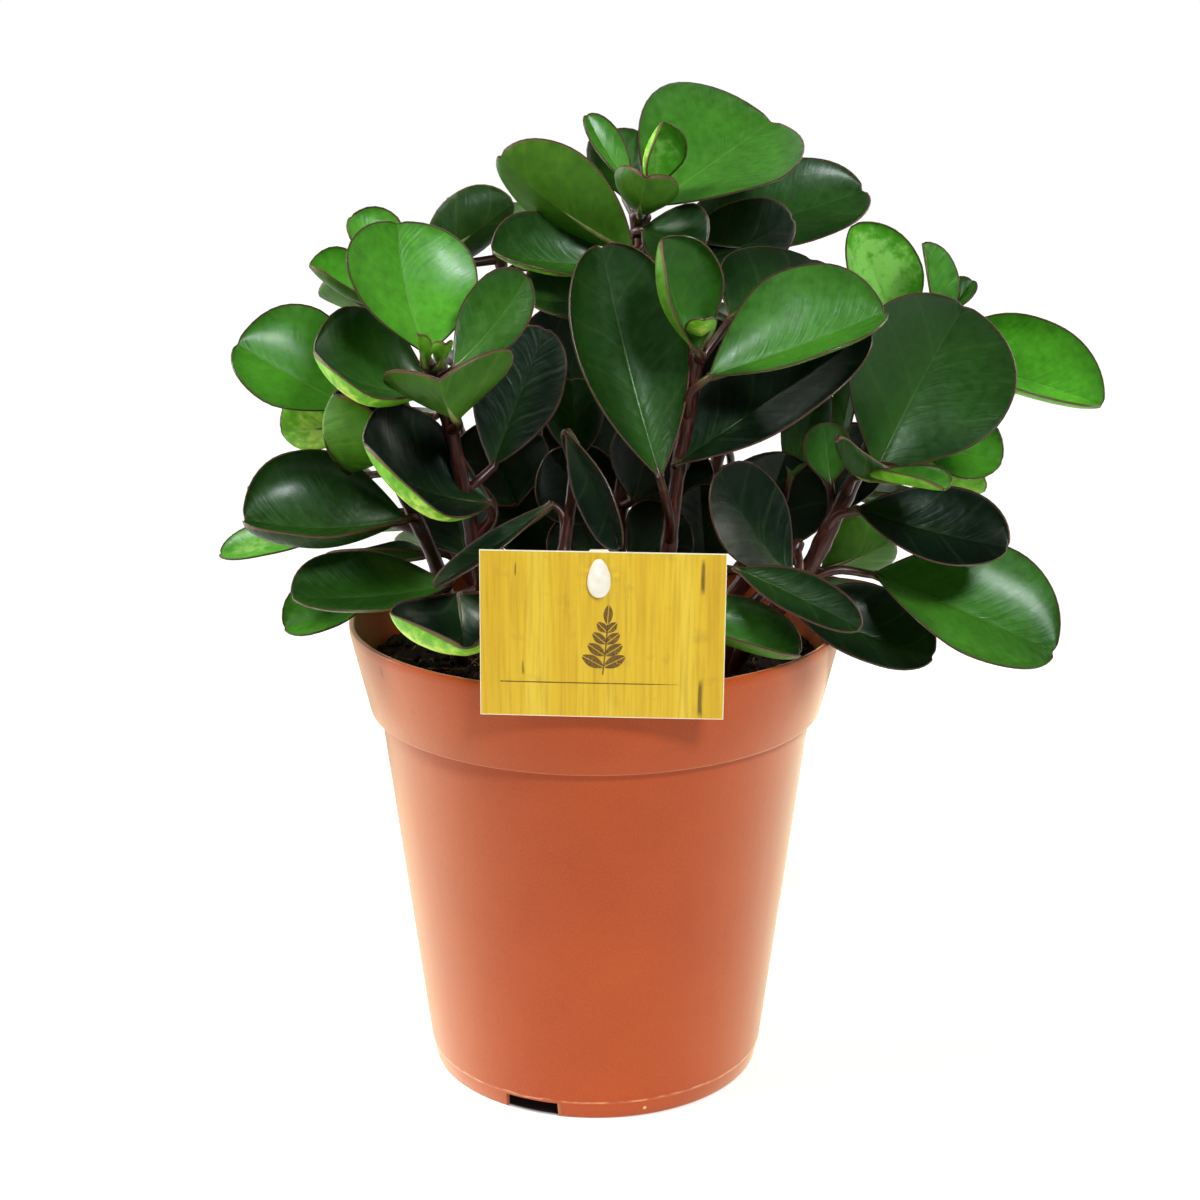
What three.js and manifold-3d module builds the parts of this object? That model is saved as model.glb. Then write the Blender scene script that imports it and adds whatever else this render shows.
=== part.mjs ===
// A peperomia plant in a 17 cm nursery pot, with a card on a stake.
// Millimetres, +Z up. The origin is on the pot's axis, at the plane the pot stands on.
// +X is to the right and -Y is towards the viewer, when the card is in front.
import * as THREE from "three";
import { mergeVertices } from "three/addons/utils/BufferGeometryUtils.js";
import Module from "manifold-3d";

// ---------------------------------------------------------------- driving sizes
const POT_HEIGHT = 162;
const POT_RIM_RADIUS = 85; // a standard 17 cm nursery pot
const POT_FOOT_RADIUS = 58.8;
const POT_WALL = 1.2;
const COLLAR_HEIGHT = 31; // the thicker band round the top
const COLLAR_STEP = 3.2; // how far the band stands out from the wall below it
const WALL_TOP_RADIUS = 75; // the wall just under the band
const FLOOR_HEIGHT = 6; // underside of the raised floor
const FLOOR_THICKNESS = 2;
const FOOT_RING_WIDTH = 2.4;
const CENTRE_PAD_RADIUS = 9; // moulding pad under the middle of the floor
const FOOT_NOTCH_WIDTH = 19;
const FOOT_NOTCH_HEIGHT = 5.4;
const FOOT_NOTCH_ANGLES = [-22, 98, 218]; // degrees round from the front
const DRAIN_HOLE_RADIUS = 5;
const DRAIN_HOLE_RING = 40;
const DRAIN_HOLES = 6;
const SOIL_TOP = 149; // the peat lies 13 mm below the rim
const CLEARANCE = 0.35; // between pieces that rest on each other
const CARD_WIDTH = 74.6;
const CARD_HEIGHT = 52.2;
const CARD_THICKNESS = 0.6;
const CARD_FRONT_Y = -88.6;
const CARD_CENTRE = [2.3, 180.5]; // x and z of the middle of the card
const CARD_YAW = -2.7; // degrees; the card's right side stands a little nearer
const CARD_ROLL = 0.43; // degrees; its right side hangs a little lower
const STAKE_X = 1.2;
const STAKE_WIDTH = 9;
const STAKE_THICKNESS = 1.6;
const STAKE_FRONT_Y = -80.4;
const STAKE_BOTTOM_Z = 78;
const STAKE_HEAD = [3.5, 6.1]; // half width and half height of the egg-shaped head
const HEAD_NARROWING = 0.18; // how much narrower the head's top end is
const STAKE_HEAD_Z = 198.5;
const STAKE_NECK_RADIUS = 2;
const STAKE_TOP_Z = STAKE_HEAD_Z + 6.5; // the strip ends a little above the head
const BLADE_THICKNESS = 1;
const STALK_RADIUS = 1.8; // of a leaf stalk where it leaves the stem
const NECK_RADIUS = 1.4; // of a leaf stalk where it meets the blade
const ROOT_DEPTH = 92; // height at which a stem starts, inside the soil
const STEM_START = SOIL_TOP + 2; // from here up a stem follows its drawn route

// ------------------------------------------------------------- how the plant is drawn
// Leaves and stems are set out on the elevation drawing: x across, z up, and `near`,
// how far a point stands in front of the pot's axis. The drawing is seen from the
// viewpoint below, so a nearer point is drawn where it would be seen.
const VIEWPOINT = new THREE.Vector3(1.5, -703, 362);

function drawn([x, z, near]) {
  const onAxisPlane = new THREE.Vector3(x, 0, z);
  const share = (-VIEWPOINT.y - near) / -VIEWPOINT.y;
  return onAxisPlane.sub(VIEWPOINT).multiplyScalar(share).add(VIEWPOINT);
}

// Each leafy stem: where it leaves the soil (x, y), its route as drawn, and its
// thickness at the root and at the tip.
const STEMS = {
  front_left: {
    root: [-32, -38],
    route: [[-42, 190, 42], [-46, 212, 45], [-51, 235, 49], [-55, 248, 51]],
    thick: [7.5, 4],
  },
  centre: {
    root: [20, -34],
    route: [[25, 185, 40], [28, 212, 44], [32, 236, 48], [34.5, 253, 50]],
    thick: [7.5, 4],
  },
  top: {
    root: [6, 4],
    route: [[8, 195, 2], [11, 250, 4], [13, 285, 6], [15, 300, 8]],
    thick: [8, 4],
  },
  right: {
    root: [46, -26],
    route: [[72, 176, 32], [82, 197, 33], [90, 214, 28], [103, 242, 8], [112, 264, 4]],
    thick: [8, 4],
  },
  right_back: {
    root: [42, 18],
    route: [[62, 190, -14], [74, 215, -18], [90, 245, -22], [99, 258, -24]],
    thick: [7.5, 4],
  },
  left_back: {
    root: [-34, 14],
    route: [[-50, 190, -12], [-62, 225, -14], [-70, 255, -14], [-73, 270, -14]],
    thick: [7.5, 4],
  },
  low_left: {
    root: [-46, -14],
    route: [[-55, 180, 20], [-62, 197, 24], [-70, 215, 28], [-73, 228, 30]],
    thick: [7, 4],
  },
  low_front: {
    root: [-12, -52],
    route: [[-13, 150, 52], [-12, 175, 50], [-8, 205, 44], [-7, 218, 42]],
    thick: [6.5, 3.5],
  },
  low_right: {
    root: [40, -46],
    route: [[50, 160, 46], [60, 172, 44], [66, 180, 41], [70, 188, 38]],
    thick: [6.5, 3.5],
  },
  back: {
    root: [-12, 30],
    route: [[-16, 200, -30], [-24, 250, -30], [-30, 275, -26], [-32, 288, -24]],
    thick: [7.5, 4],
  },
  back_left: {
    root: [-30, 44],
    route: [[-36, 190, -50], [-46, 225, -56], [-52, 250, -60], [-54, 262, -62]],
    thick: [7, 4],
  },
  back_right: {
    root: [28, 44],
    route: [[34, 190, -50], [46, 235, -56], [52, 265, -60], [54, 280, -60]],
    thick: [7, 4],
  },
};

// The leaves of each stem. A row holds the share of the stem's length where the leaf
// grows, base and tip as drawn, width, where its upper face looks (degrees round from
// the front and up), fold at the midrib and curl of each half (degrees), the sag of the
// midrib as a share of the length, and how much further the margin alone turns up.
const LEAVES = {
  front_left: [
    [0.97, [-56.5, 252.5, 54], [-65.5, 296, 34], 48.5, [36, 24], 7, 16, 0.09, 10],
    [0.93, [-47.5, 248, 59.5], [-22.5, 278.5, 58.5], 26.5, [-26, 30], 5, 20, 0.08, 13],
    [0.8, [-46.5, 230.5, 70], [-52.5, 244, 81], 51, [179, 30], 32, 8, 0.2, 2],
    [0.86, [-55, 240.5, 45.5], [-94.5, 254, 52.5], 55.5, [6, 65], 3, 37, 0.16, 42],
    [0.99, [-57, 249, 58], [-59, 259, 64], 7, [150, 20], 20, 40, 0.02, 14],
    [0.99, [-52, 249, 62], [-50, 256, 69], 9, [-160, 25], 20, 40, 0.02, 14],
    [0.45, [-35.5, 201.5, 46.5], [-79, 223, 69.5], 53.5, [28, 57], 3, 31, 0.14, 50],
    [0.6, [-35, 214, 41], [-16.5, 261, 33.5], 31.5, [-10, 29], 13, 16, -0.01, 0],
  ],
  centre: [
    [0.42, [22, 210.5, 59], [2, 288.5, 36.5], 45.5, [14, 14], 6, 33, 0.06, 50],
    [0.98, [34.5, 253.5, 58.5], [22, 291, 62.5], 36.5, [40, 2], 21, 36, 0.11, 57],
    [0.99, [34, 252, 39], [36.5, 264, 77], 10, [187, 54], 11, 17, -0.03, 0],
    [0.8, [38, 245, 56.5], [96.5, 266.5, 51], 48.5, [-5, 53], 20, 34, 0.02, 0],
    [0.66, [27, 215, 47.5], [91.5, 260, 47], 45, [3, 51], 13, 27, 0.01, 18],
    [0.7, [45, 265, 37], [71.5, 284, 14], 41, [-32, 47], 2, 12, -0.03, 2],
  ],
  top: [
    [0.98, [19, 301.5, 11], [57.5, 328.5, -10.5], 69, [-39, 25], 5, 24, 0, 1],
    [0.95, [12.5, 286.5, 16], [-31, 318, 23.5], 39, [155, 38], 2, 34, 0.06, 6],
    [0.99, [12, 308, 9.5], [-3, 330.5, 1], 14, [33, 21], 14, 32, 0.06, 9],
    [0.99, [15, 299, 17], [16.5, 311, 32.5], 26.5, [163, 35], 9, 46, 0.18, 15],
    [0.99, [18.5, 307, 10], [22, 328.5, 22.5], 22.5, [24, 35], 19, 39, 0.1, 42],
    [0.97, [10, 304, 0], [6, 326, -12], 24, [10, 20], 6, 24, 0.04, 14],
    [0.92, [15.5, 294, 13.5], [36, 287.5, 25.5], 27, [-6, 41], 7, 26, 0.04, 9],
    [0.88, [5.5, 282.5, 12.5], [-34.5, 287, 26.5], 33, [0, 48], 14, 37, 0.06, 17],
    [0.86, [25, 291, -6.5], [88, 306.5, -36.5], 41.5, [-5, 44], 6, 27, 0.05, 15],
    [0.84, [24, 282, -1], [65, 297.5, -3], 35.5, [3, 54], 2, 12, 0.1, 18],
    [0.8, [4, 270, 12], [-24, 271, 30], 28, [0, 45], 8, 28, 0.03, 14],
    [0.72, [12, 262, -8], [22, 266, -48], 36, [175, 55], 8, 30, 0.03, 14],
    [0.84, [12, 279, -4], [28, 281, -42], 32, [160, 50], 8, 30, 0.03, 14],
    [0.52, [16, 232, -6], [46, 226, -26], 36, [140, 55], 8, 30, 0.03, 14],
    [0.26, [3, 195.5, 8], [-16, 219, 18], 32, [-10, 26], 8, 28, 0.04, 10],
    [0.34, [13, 202.5, 10], [22.5, 233, 16], 30, [10, 24], 8, 28, 0.04, 10],
    [0.14, [12, 179, 12], [31.5, 195.5, 16], 32, [8, 36], 8, 28, 0.04, 10],
    [0.18, [3, 172, 6], [-7.5, 199.5, 4], 30, [-8, 22], 8, 26, 0.03, 10],
  ],
  right: [
    [0.64, [95.5, 213, 30], [122.5, 269, 20.5], 60, [14, 23], 8, 26, 0.06, 3],
    [0.5, [92.5, 211.5, 45.5], [119.5, 206, 73], 20.5, [-25, 90], 5, 34, 0.01, 53],
    [0.98, [114.5, 257, 2.5], [108, 289.5, 0], 19.5, [44, 11], 32, 8, -0.02, 2],
    [0.99, [117, 266, 2], [125, 277, -4], 12, [-30, 10], 20, 30, 0.04, 14],
    [0.38, [89, 199.5, 38.5], [141.5, 185.5, 53], 33.5, [-2, 48], 7, 22, 0.04, 26],
    [0.24, [96, 176.5, 30], [159.5, 148, 43], 53, [10, 52], 8, 27, -0.01, 10],
    [0.42, [80, 208, 30], [77, 229, 26], 18, [0, 20], 10, 30, 0.03, 14],
    [0.14, [66, 166.5, 21.5], [117.5, 146.5, 31], 36.5, [5, 52], 8, 29, 0.04, 15],
    [0.58, [103.5, 213, 40], [81, 223, 58], 16, [103, 70], 35, 59, 0.22, 31],
  ],
  right_back: [
    [0.97, [101.5, 257, -21.5], [85, 295.5, -15.5], 34, [1, 32], 15, 47, -0.03, 2],
    [0.9, [109, 252.5, -29], [171, 235, 3], 49, [-36, 43], 28, 48, -0.03, 5],
    [0.7, [110, 222, -15.5], [138, 216, -7], 28.5, [-4, 37], 12, 26, 0.03, 16],
    [0.62, [104, 213, -18], [133, 206, -14], 18, [180, 40], 6, 24, 0.03, 14],
    [0.45, [80, 214, -8], [87, 246, -4], 14, [-60, 10], 6, 24, 0.03, 14],
    [0.4, [66, 210, -6], [76, 243, -6], 18, [-20, 15], 6, 24, 0.03, 14],
    [0.3, [78, 178, 0], [102, 188, 6], 30, [170, 30], 6, 24, 0.03, 14],
    [0.8, [102, 236, -34], [138, 238, -62], 38, [120, 55], 8, 30, 0.03, 14],
    [0.5, [86, 206, -30], [124, 194, -44], 38, [110, 58], 8, 30, 0.03, 14],
    [0.2, [72, 176, -20], [106, 160, -42], 34, [130, 60], 8, 30, 0.02, 14],
    [0.26, [38, 179, 0], [35.5, 208, 6], 34, [4, 26], 8, 26, 0.03, 10],
    [0.34, [54, 182.5, -10], [64.5, 219, -6], 42, [10, 22], 8, 26, 0.03, 10],
    [0.55, [78, 196, -14], [86.5, 229, -12], 32, [14, 24], 8, 26, 0.03, 10],
  ],
  left_back: [
    [0.98, [-64, 280.5, -14], [-80.5, 298, -15.5], 24, [-2, 58], 6, 34, 0.03, 14],
    [0.92, [-75, 269, -12.5], [-95, 282, -2.5], 26.5, [-20, 54], 21, 42, 0.06, 24],
    [0.75, [-82, 234.5, 10], [-120, 256, 8.5], 49, [-25, 55], 9, 32, 0.03, 11],
    [0.6, [-82, 228.5, -4.5], [-106.5, 227, -3], 27.5, [165, 25], 6, 24, 0.03, 13],
    [0.8, [-80, 252, -24], [-106, 244, -52], 34, [-120, 55], 8, 30, 0.03, 14],
    [0.45, [-76, 212, -20], [-116, 204, -34], 38, [-110, 58], 8, 30, 0.03, 14],
    [0.22, [-58, 184, -14], [-92, 178, -30], 32, [-130, 60], 8, 30, 0.02, 14],
    [0.24, [-44.5, 182.5, -8], [-51, 211, -4], 34, [-6, 26], 8, 26, 0.03, 10],
    [0.5, [-27, 200.5, -14], [-39.5, 229, -8], 42, [-10, 24], 8, 26, 0.03, 10],
  ],
  low_left: [
    [0.97, [-83, 212.5, 22], [-88, 239.5, 45.5], 47, [62, 41], 33, 40, 0.15, 40],
    [0.6, [-65, 196, 30.5], [-120.5, 195.5, 34.5], 56.5, [6, 58], 12, 38, 0.08, 50],
    [0.55, [-89.5, 191, 7], [-129, 183.5, 3], 21, [-11, 66], 3, 29, 0.01, 5],
    [0.35, [-50.5, 172.5, 31], [-105, 168, 46], 35.5, [-1, 64], 8, 32, 0.05, 8],
    [0.25, [-76, 169, 23.5], [-108, 157, 28], 28, [-20, 55], 9, 31, 0.04, 8],
  ],
  low_front: [
    [0.3, [-47.5, 169.5, 42], [-44.5, 149.5, 79.5], 60.5, [-6, 76], 5, 56, 0.25, 21],
    [0.58, [-15, 201.5, 44.5], [-55.5, 171.5, 62.5], 11.5, [-34, 58], 15, 17, 0.02, 5],
    [0.95, [-10, 226, 52], [8.5, 185, 62], 17, [-57, 30], 19, 15, 0.07, 10],
    [0.98, [-6, 216, 36], [-8, 244, 24], 22, [0, 20], 8, 28, 0.03, 14],
    [0.22, [23.5, 165, 58], [71, 147, 60], 30, [0, 66], 10, 46, 0.06, 34],
  ],
  low_right: [
    [0.95, [67.5, 175, 49], [41.5, 212.5, 51], 32.5, [39, 20], 8, 9, 0.06, 2],
    [0.7, [48, 178.5, 57.5], [92, 156.5, 79.5], 17.5, [-1, 43], 7, 33, -0.02, 8],
  ],
  back: [
    [0.97, [-58, 280.5, -15], [-27, 303, -23], 29.5, [-174, 28], 11, 32, 0.02, 27],
    [0.99, [-30, 292, -40], [-38, 300, -82], 36, [-175, 62], 8, 30, 0.04, 14],
    [0.92, [-22, 282, -34], [8, 292, -58], 36, [150, 55], 8, 30, 0.04, 14],
    [0.8, [-16, 258, -38], [14, 256, -72], 38, [150, 55], 8, 30, 0.03, 14],
    [0.55, [-22, 225, -36], [-6, 222, -84], 36, [175, 60], 8, 30, 0.03, 14],
    [0.35, [-8, 203, -34], [14, 202, -62], 32, [155, 60], 8, 30, 0.03, 14],
    [0.2, [-12.5, 182.5, -24], [-28.5, 211, -20], 36, [-6, 24], 8, 26, 0.03, 10],
    [0.35, [-3.5, 209.5, -24], [-1, 238.5, -18], 36, [0, 20], 8, 26, 0.03, 10],
    [0.66, [-4, 235.5, -20], [-16.5, 268, -14], 38, [-4, 20], 8, 26, 0.03, 10],
  ],
  back_left: [
    [0.98, [-54, 264, -72], [-62, 272, -106], 30, [-170, 55], 12, 34, 0.04, 14],
    [0.96, [-60, 262, -62], [-92, 272, -68], 34, [-130, 55], 8, 30, 0.04, 14],
    [0.88, [-48, 250, -70], [-24, 250, -104], 38, [165, 55], 8, 30, 0.03, 14],
    [0.72, [-54, 232, -66], [-88, 226, -92], 38, [-140, 60], 8, 30, 0.03, 14],
    [0.5, [-42, 208, -66], [-38, 198, -114], 40, [180, 62], 8, 30, 0.02, 14],
    [0.42, [-48, 196, -48], [-94, 190, -52], 38, [-120, 62], 8, 30, 0.02, 14],
    [0.22, [-42, 190, -56], [-62, 182, -92], 34, [-160, 62], 8, 30, 0.02, 14],
    [0.3, [-30, 196, -56], [-24, 190, -94], 32, [175, 60], 8, 30, 0.03, 14],
    [0.62, [-54, 220, -52], [-90, 222, -60], 34, [-110, 60], 8, 30, 0.03, 14],
  ],
  back_right: [
    [0.98, [54, 282, -70], [58, 292, -104], 32, [175, 55], 12, 34, 0.04, 14],
    [0.94, [60, 270, -62], [90, 268, -68], 34, [120, 55], 8, 30, 0.03, 14],
    [0.86, [46, 264, -68], [22, 268, -102], 36, [-165, 55], 8, 30, 0.03, 14],
    [0.74, [58, 246, -66], [94, 240, -90], 40, [140, 60], 8, 30, 0.03, 14],
    [0.5, [46, 214, -64], [42, 204, -112], 40, [180, 62], 8, 30, 0.02, 14],
    [0.42, [52, 200, -48], [98, 192, -56], 40, [120, 62], 8, 30, 0.02, 14],
    [0.22, [38, 190, -56], [56, 182, -92], 34, [160, 62], 8, 30, 0.02, 14],
    [0.64, [42, 232, -60], [18, 228, -90], 36, [-165, 58], 8, 30, 0.03, 14],
    [0.3, [30, 196, -56], [22, 192, -94], 34, [-170, 60], 8, 30, 0.03, 14],
    [0.26, [25, 195.5, -36], [22, 223.5, -32], 38, [0, 24], 8, 26, 0.03, 10],
    [0.55, [32, 237, -34], [40, 264.5, -30], 36, [6, 24], 8, 26, 0.03, 10],
  ],
};

// ----------------------------------------------------------------- solids and booleans
const wasm = await Module();
wasm.setup();

function solidFrom(geometry) {
  const bare = geometry.clone();
  bare.deleteAttribute("normal");
  bare.deleteAttribute("uv");
  const merged = mergeVertices(bare, 1e-4);
  return new wasm.Manifold(new wasm.Mesh({
    numProp: 3,
    vertProperties: new Float32Array(merged.attributes.position.array),
    triVerts: new Uint32Array(merged.index.array),
  }));
}

function geometryFrom(solid) {
  const mesh = solid.getMesh();
  const geometry = new THREE.BufferGeometry();
  geometry.setAttribute("position", new THREE.BufferAttribute(mesh.vertProperties, 3));
  geometry.setIndex(new THREE.BufferAttribute(mesh.triVerts, 1));
  geometry.computeVertexNormals();
  return geometry;
}

function cut(geometry, tools) {
  let solid = solidFrom(geometry);
  for (const tool of tools) {
    solid = solid.subtract(solidFrom(tool));
  }
  return geometryFrom(solid);
}

// Joins pieces into one body; a crumb left where two surfaces graze is dropped.
function fuse(geometries) {
  let solid = solidFrom(geometries[0]);
  for (const extra of geometries.slice(1)) {
    solid = solid.add(solidFrom(extra));
  }
  const bodies = solid.decompose().sort((a, b) => b.volume() - a.volume());
  return geometryFrom(bodies[0]);
}

// A profile of [radius, height] pairs turned about the pot's axis.
function turned(profile, sides) {
  const points = profile.map(([r, z]) => new THREE.Vector2(r, z));
  const geometry = new THREE.LatheGeometry(points, sides);
  geometry.rotateX(Math.PI / 2);
  return geometry;
}

// An upright round rod, used to cut holes.
function rod(radius, bottom, top, sides) {
  const geometry = new THREE.CylinderGeometry(radius, radius, top - bottom, sides);
  geometry.rotateX(Math.PI / 2);
  geometry.translate(0, 0, (top + bottom) / 2);
  return geometry;
}

// A tube with a few sides along a smooth curve through the points.
function tube(points, radiusAtStart, radiusAtEnd, sides, rings) {
  const curve = new THREE.CatmullRomCurve3(points, false, "centripetal");
  const section = new THREE.Shape();
  for (let i = 0; i < sides; i += 1) {
    const angle = (2 * Math.PI * (i + 0.5)) / sides;
    const x = radiusAtStart * Math.cos(angle);
    const y = radiusAtStart * Math.sin(angle);
    if (i === 0) {
      section.moveTo(x, y);
    } else {
      section.lineTo(x, y);
    }
  }
  section.closePath();
  const geometry = new THREE.ExtrudeGeometry(section, {
    steps: rings,
    bevelEnabled: false,
    extrudePath: curve,
  });
  taper(geometry, curve, rings, radiusAtEnd / radiusAtStart);
  return geometry;
}

// Narrows a tube towards its end, ring by ring.
function taper(geometry, curve, rings, endShare) {
  const place = geometry.attributes.position;
  const centres = curve.getSpacedPoints(rings);
  const point = new THREE.Vector3();
  for (let i = 0; i < place.count; i += 1) {
    point.fromBufferAttribute(place, i);
    let nearest = 0;
    for (let ring = 1; ring <= rings; ring += 1) {
      if (point.distanceTo(centres[ring]) < point.distanceTo(centres[nearest])) {
        nearest = ring;
      }
    }
    const share = 1 + ((endShare - 1) * nearest) / rings;
    point.sub(centres[nearest]).multiplyScalar(share).add(centres[nearest]);
    place.setXYZ(i, point.x, point.y, point.z);
  }
}

// ------------------------------------------------------------------------ one leaf
const WIDEST = 0.58; // where the blade is widest, as a share of its length
const BLUNT = 0.12; // width left at the very tip
const BASE_FULLNESS = 0.9; // below 1, the blade swells sooner from its base
const TIP_FULLNESS = 2.2; // above 2, the tip end is squarer than an ellipse
const NOTCH_DEPTH = 0.005; // of the notch at the tip, as a share of the length
const NOTCH_WIDTH = 1.3; // half the width of that notch, in millimetres
const END_HOLLOW = 0.004; // how far the midrib stops short of the rounded tip
const TURN_STEPS = 12; // steps from midrib to margin in which a half blade is bent
const BROAD = 36; // from this width a blade in front gets the finer division
const FRONT_NEAR = -12; // a blade based further back than this counts as a back one
const ROWS = { fine: [0.18, 0.44, 0.74, 0.94, 1], coarse: [0.26, 0.6, 0.91, 1] };
const COLUMNS = { fine: [-1, -0.5, 0, 0.5, 1], coarse: [-1, 0, 1] };

function outlineWidth(v) {
  if (v < WIDEST) {
    return Math.pow(Math.sin((Math.PI / 2) * (v / WIDEST)), BASE_FULLNESS);
  }
  const past = (v - WIDEST) / (1 - WIDEST);
  return Math.sqrt(1 - (1 - BLUNT * BLUNT) * Math.pow(past, TIP_FULLNESS));
}

function facing(azimuth, elevation) {
  const a = THREE.MathUtils.degToRad(azimuth);
  const e = THREE.MathUtils.degToRad(elevation);
  return new THREE.Vector3(Math.sin(a) * Math.cos(e), -Math.cos(a) * Math.cos(e), Math.sin(e));
}

// The blade's own axes: along the midrib, out of the upper face, and across.
function bladeAxes(leaf) {
  const along = leaf.tip.clone().sub(leaf.base);
  const length = along.length();
  along.normalize();
  const up = leaf.faces.clone().addScaledVector(along, -leaf.faces.dot(along)).normalize();
  const across = new THREE.Vector3().crossVectors(along, up);
  return { along, up, across, length };
}

// How far a half blade has turned up, at share s of the way from midrib to margin.
function turnAt(leaf, s) {
  return THREE.MathUtils.degToRad(leaf.fold + leaf.curl * s + leaf.lip * s ** 4);
}

// How far out and how high a half blade reaches at share s, added up step by step.
function halfSection(leaf, s, half) {
  const step = (half * s) / TURN_STEPS;
  let out = 0;
  let rise = 0;
  for (let i = 0; i < TURN_STEPS; i += 1) {
    const turn = turnAt(leaf, (s * (i + 0.5)) / TURN_STEPS);
    out += step * Math.cos(turn);
    rise += step * Math.sin(turn);
  }
  return [out, rise];
}

// A point of the blade: u runs from margin to margin, v from base to tip, and lift
// is the height above the middle of the blade's thickness.
function bladePoint(leaf, axes, u, v, lift) {
  const half = (leaf.width / 2) * outlineWidth(v);
  const s = Math.abs(u);
  const hand = Math.sign(u);
  const [out, rise] = halfSection(leaf, s, half);
  const side = hand * out;
  const dip = -leaf.sag * axes.length * 4 * v * (1 - v);
  const notch = NOTCH_DEPTH * Math.exp(-(((s * half) / NOTCH_WIDTH) ** 2)) * v ** 30;
  const reach = axes.length * (v - notch - END_HOLLOW * (1 - s) * v ** 8);
  const tilt = hand * turnAt(leaf, s);
  return leaf.base.clone()
    .addScaledVector(axes.along, reach)
    .addScaledVector(axes.up, rise + dip + lift * Math.cos(tilt))
    .addScaledVector(axes.across, side - lift * Math.sin(tilt));
}

// A point round the stalk: the same columns as the blade, wrapped into a round.
const STALK_WRAP = 0.4 * Math.PI; // how far round the outer columns reach from the top

function stalkPoint(centre, direction, across, radius, u, face) {
  const side = across.clone().addScaledVector(direction, -across.dot(direction)).normalize();
  const top = new THREE.Vector3().crossVectors(side, direction);
  const angle = u * STALK_WRAP;
  return centre.clone()
    .addScaledVector(side, radius * Math.sin(angle))
    .addScaledVector(top, face * radius * Math.cos(angle));
}

// Stalk and blade as one closed sheet, split alike on both faces.
function leafGeometry(leaf, node) {
  const axes = bladeAxes(leaf);
  const fine = leaf.width >= BROAD && leaf.front;
  const rows = fine ? ROWS.fine : ROWS.coarse;
  const columns = fine ? COLUMNS.fine : COLUMNS.coarse;
  const stalk = leaf.base.clone().sub(node).normalize();
  const bend = stalk.clone().add(axes.along).normalize();
  const positions = [];
  for (const face of [1, -1]) {
    for (const u of columns) {
      positions.push(...stalkPoint(node, stalk, axes.across, STALK_RADIUS, u, face).toArray());
    }
    for (const u of columns) {
      positions.push(...stalkPoint(leaf.base, bend, axes.across, NECK_RADIUS, u, face).toArray());
    }
    for (const v of rows) {
      for (const u of columns) {
        positions.push(...bladePoint(leaf, axes, u, v, (face * BLADE_THICKNESS) / 2).toArray());
      }
    }
  }
  const geometry = new THREE.BufferGeometry();
  geometry.setAttribute("position", new THREE.Float32BufferAttribute(positions, 3));
  geometry.setIndex(sheetTriangles(rows.length + 2, columns.length));
  return geometry;
}

// Triangles of a closed sheet: an upper face, a lower face and the edge between them.
function sheetTriangles(rowCount, columnCount) {
  const index = [];
  const at = (face, row, column) => (face * rowCount + row) * columnCount + column;
  const quad = (a, b, c, d) => index.push(a, b, c, a, c, d);
  const last = rowCount - 1;
  const rim = columnCount - 1;
  for (let r = 0; r < last; r += 1) {
    for (let c = 0; c < rim; c += 1) {
      quad(at(0, r, c), at(0, r, c + 1), at(0, r + 1, c + 1), at(0, r + 1, c));
      quad(at(1, r, c), at(1, r + 1, c), at(1, r + 1, c + 1), at(1, r, c + 1));
    }
    quad(at(0, r, 0), at(0, r + 1, 0), at(1, r + 1, 0), at(1, r, 0));
    quad(at(0, r, rim), at(1, r, rim), at(1, r + 1, rim), at(0, r + 1, rim));
  }
  for (let c = 0; c < rim; c += 1) {
    quad(at(0, 0, c), at(1, 0, c), at(1, 0, c + 1), at(0, 0, c + 1));
    quad(at(0, last, c), at(0, last, c + 1), at(1, last, c + 1), at(1, last, c));
  }
  return index;
}

// ------------------------------------------------------------------- a leafy stem
const STEM_SIDES = 5;
const STEM_RINGS = 11;

function stemCurve(stem) {
  const [x, y] = stem.root;
  const below = [ROOT_DEPTH, SOIL_TOP - 10, STEM_START].map((z) => new THREE.Vector3(x, y, z));
  return [...below, ...stem.route.map(drawn)];
}

// The point at a share of the stem's length above the soil.
function alongStem(stem, share) {
  const curve = new THREE.CatmullRomCurve3(stemCurve(stem), false, "centripetal");
  const buried = (STEM_START - ROOT_DEPTH) / curve.getLength();
  return curve.getPointAt(buried + share * (1 - buried));
}

function leafyStem(name) {
  const stem = STEMS[name];
  const [thickRoot, thickTip] = stem.thick;
  const pieces = [tube(stemCurve(stem), thickRoot / 2, thickTip / 2, STEM_SIDES, STEM_RINGS)];
  for (const [share, base, tip, width, faces, fold, curl, sag, lip] of LEAVES[name]) {
    const leaf = {
      base: drawn(base),
      tip: drawn(tip),
      front: base[2] > FRONT_NEAR,
      faces: facing(...faces),
      width,
      fold,
      curl,
      sag,
      lip,
    };
    pieces.push(leafGeometry(leaf, alongStem(stem, share)));
  }
  return fuse(pieces);
}

// ---------------------------------------------------------------------- the pot
const COLLAR_FOOT = POT_HEIGHT - COLLAR_HEIGHT;
const COLLAR_FOOT_RADIUS = WALL_TOP_RADIUS + COLLAR_STEP;
const COLLAR_WALL = 1.4;
const COLLAR_BEND = 1.5; // height over which the inside slopes out into the band
const RIM_BAND = 2.6; // upright band at the very top of the rim
const RIM_LIP = 1.9; // width of the flat top of the rim
const RIM_LIP_FOOT = [2.3, 4]; // how far in and how far down the lip thins to the band
const FLOOR_TOP = FLOOR_HEIGHT + FLOOR_THICKNESS;
const NOTCH_REACH = 16; // radial length of the tool that cuts a foot notch
const POT_SIDES = 36;

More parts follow.
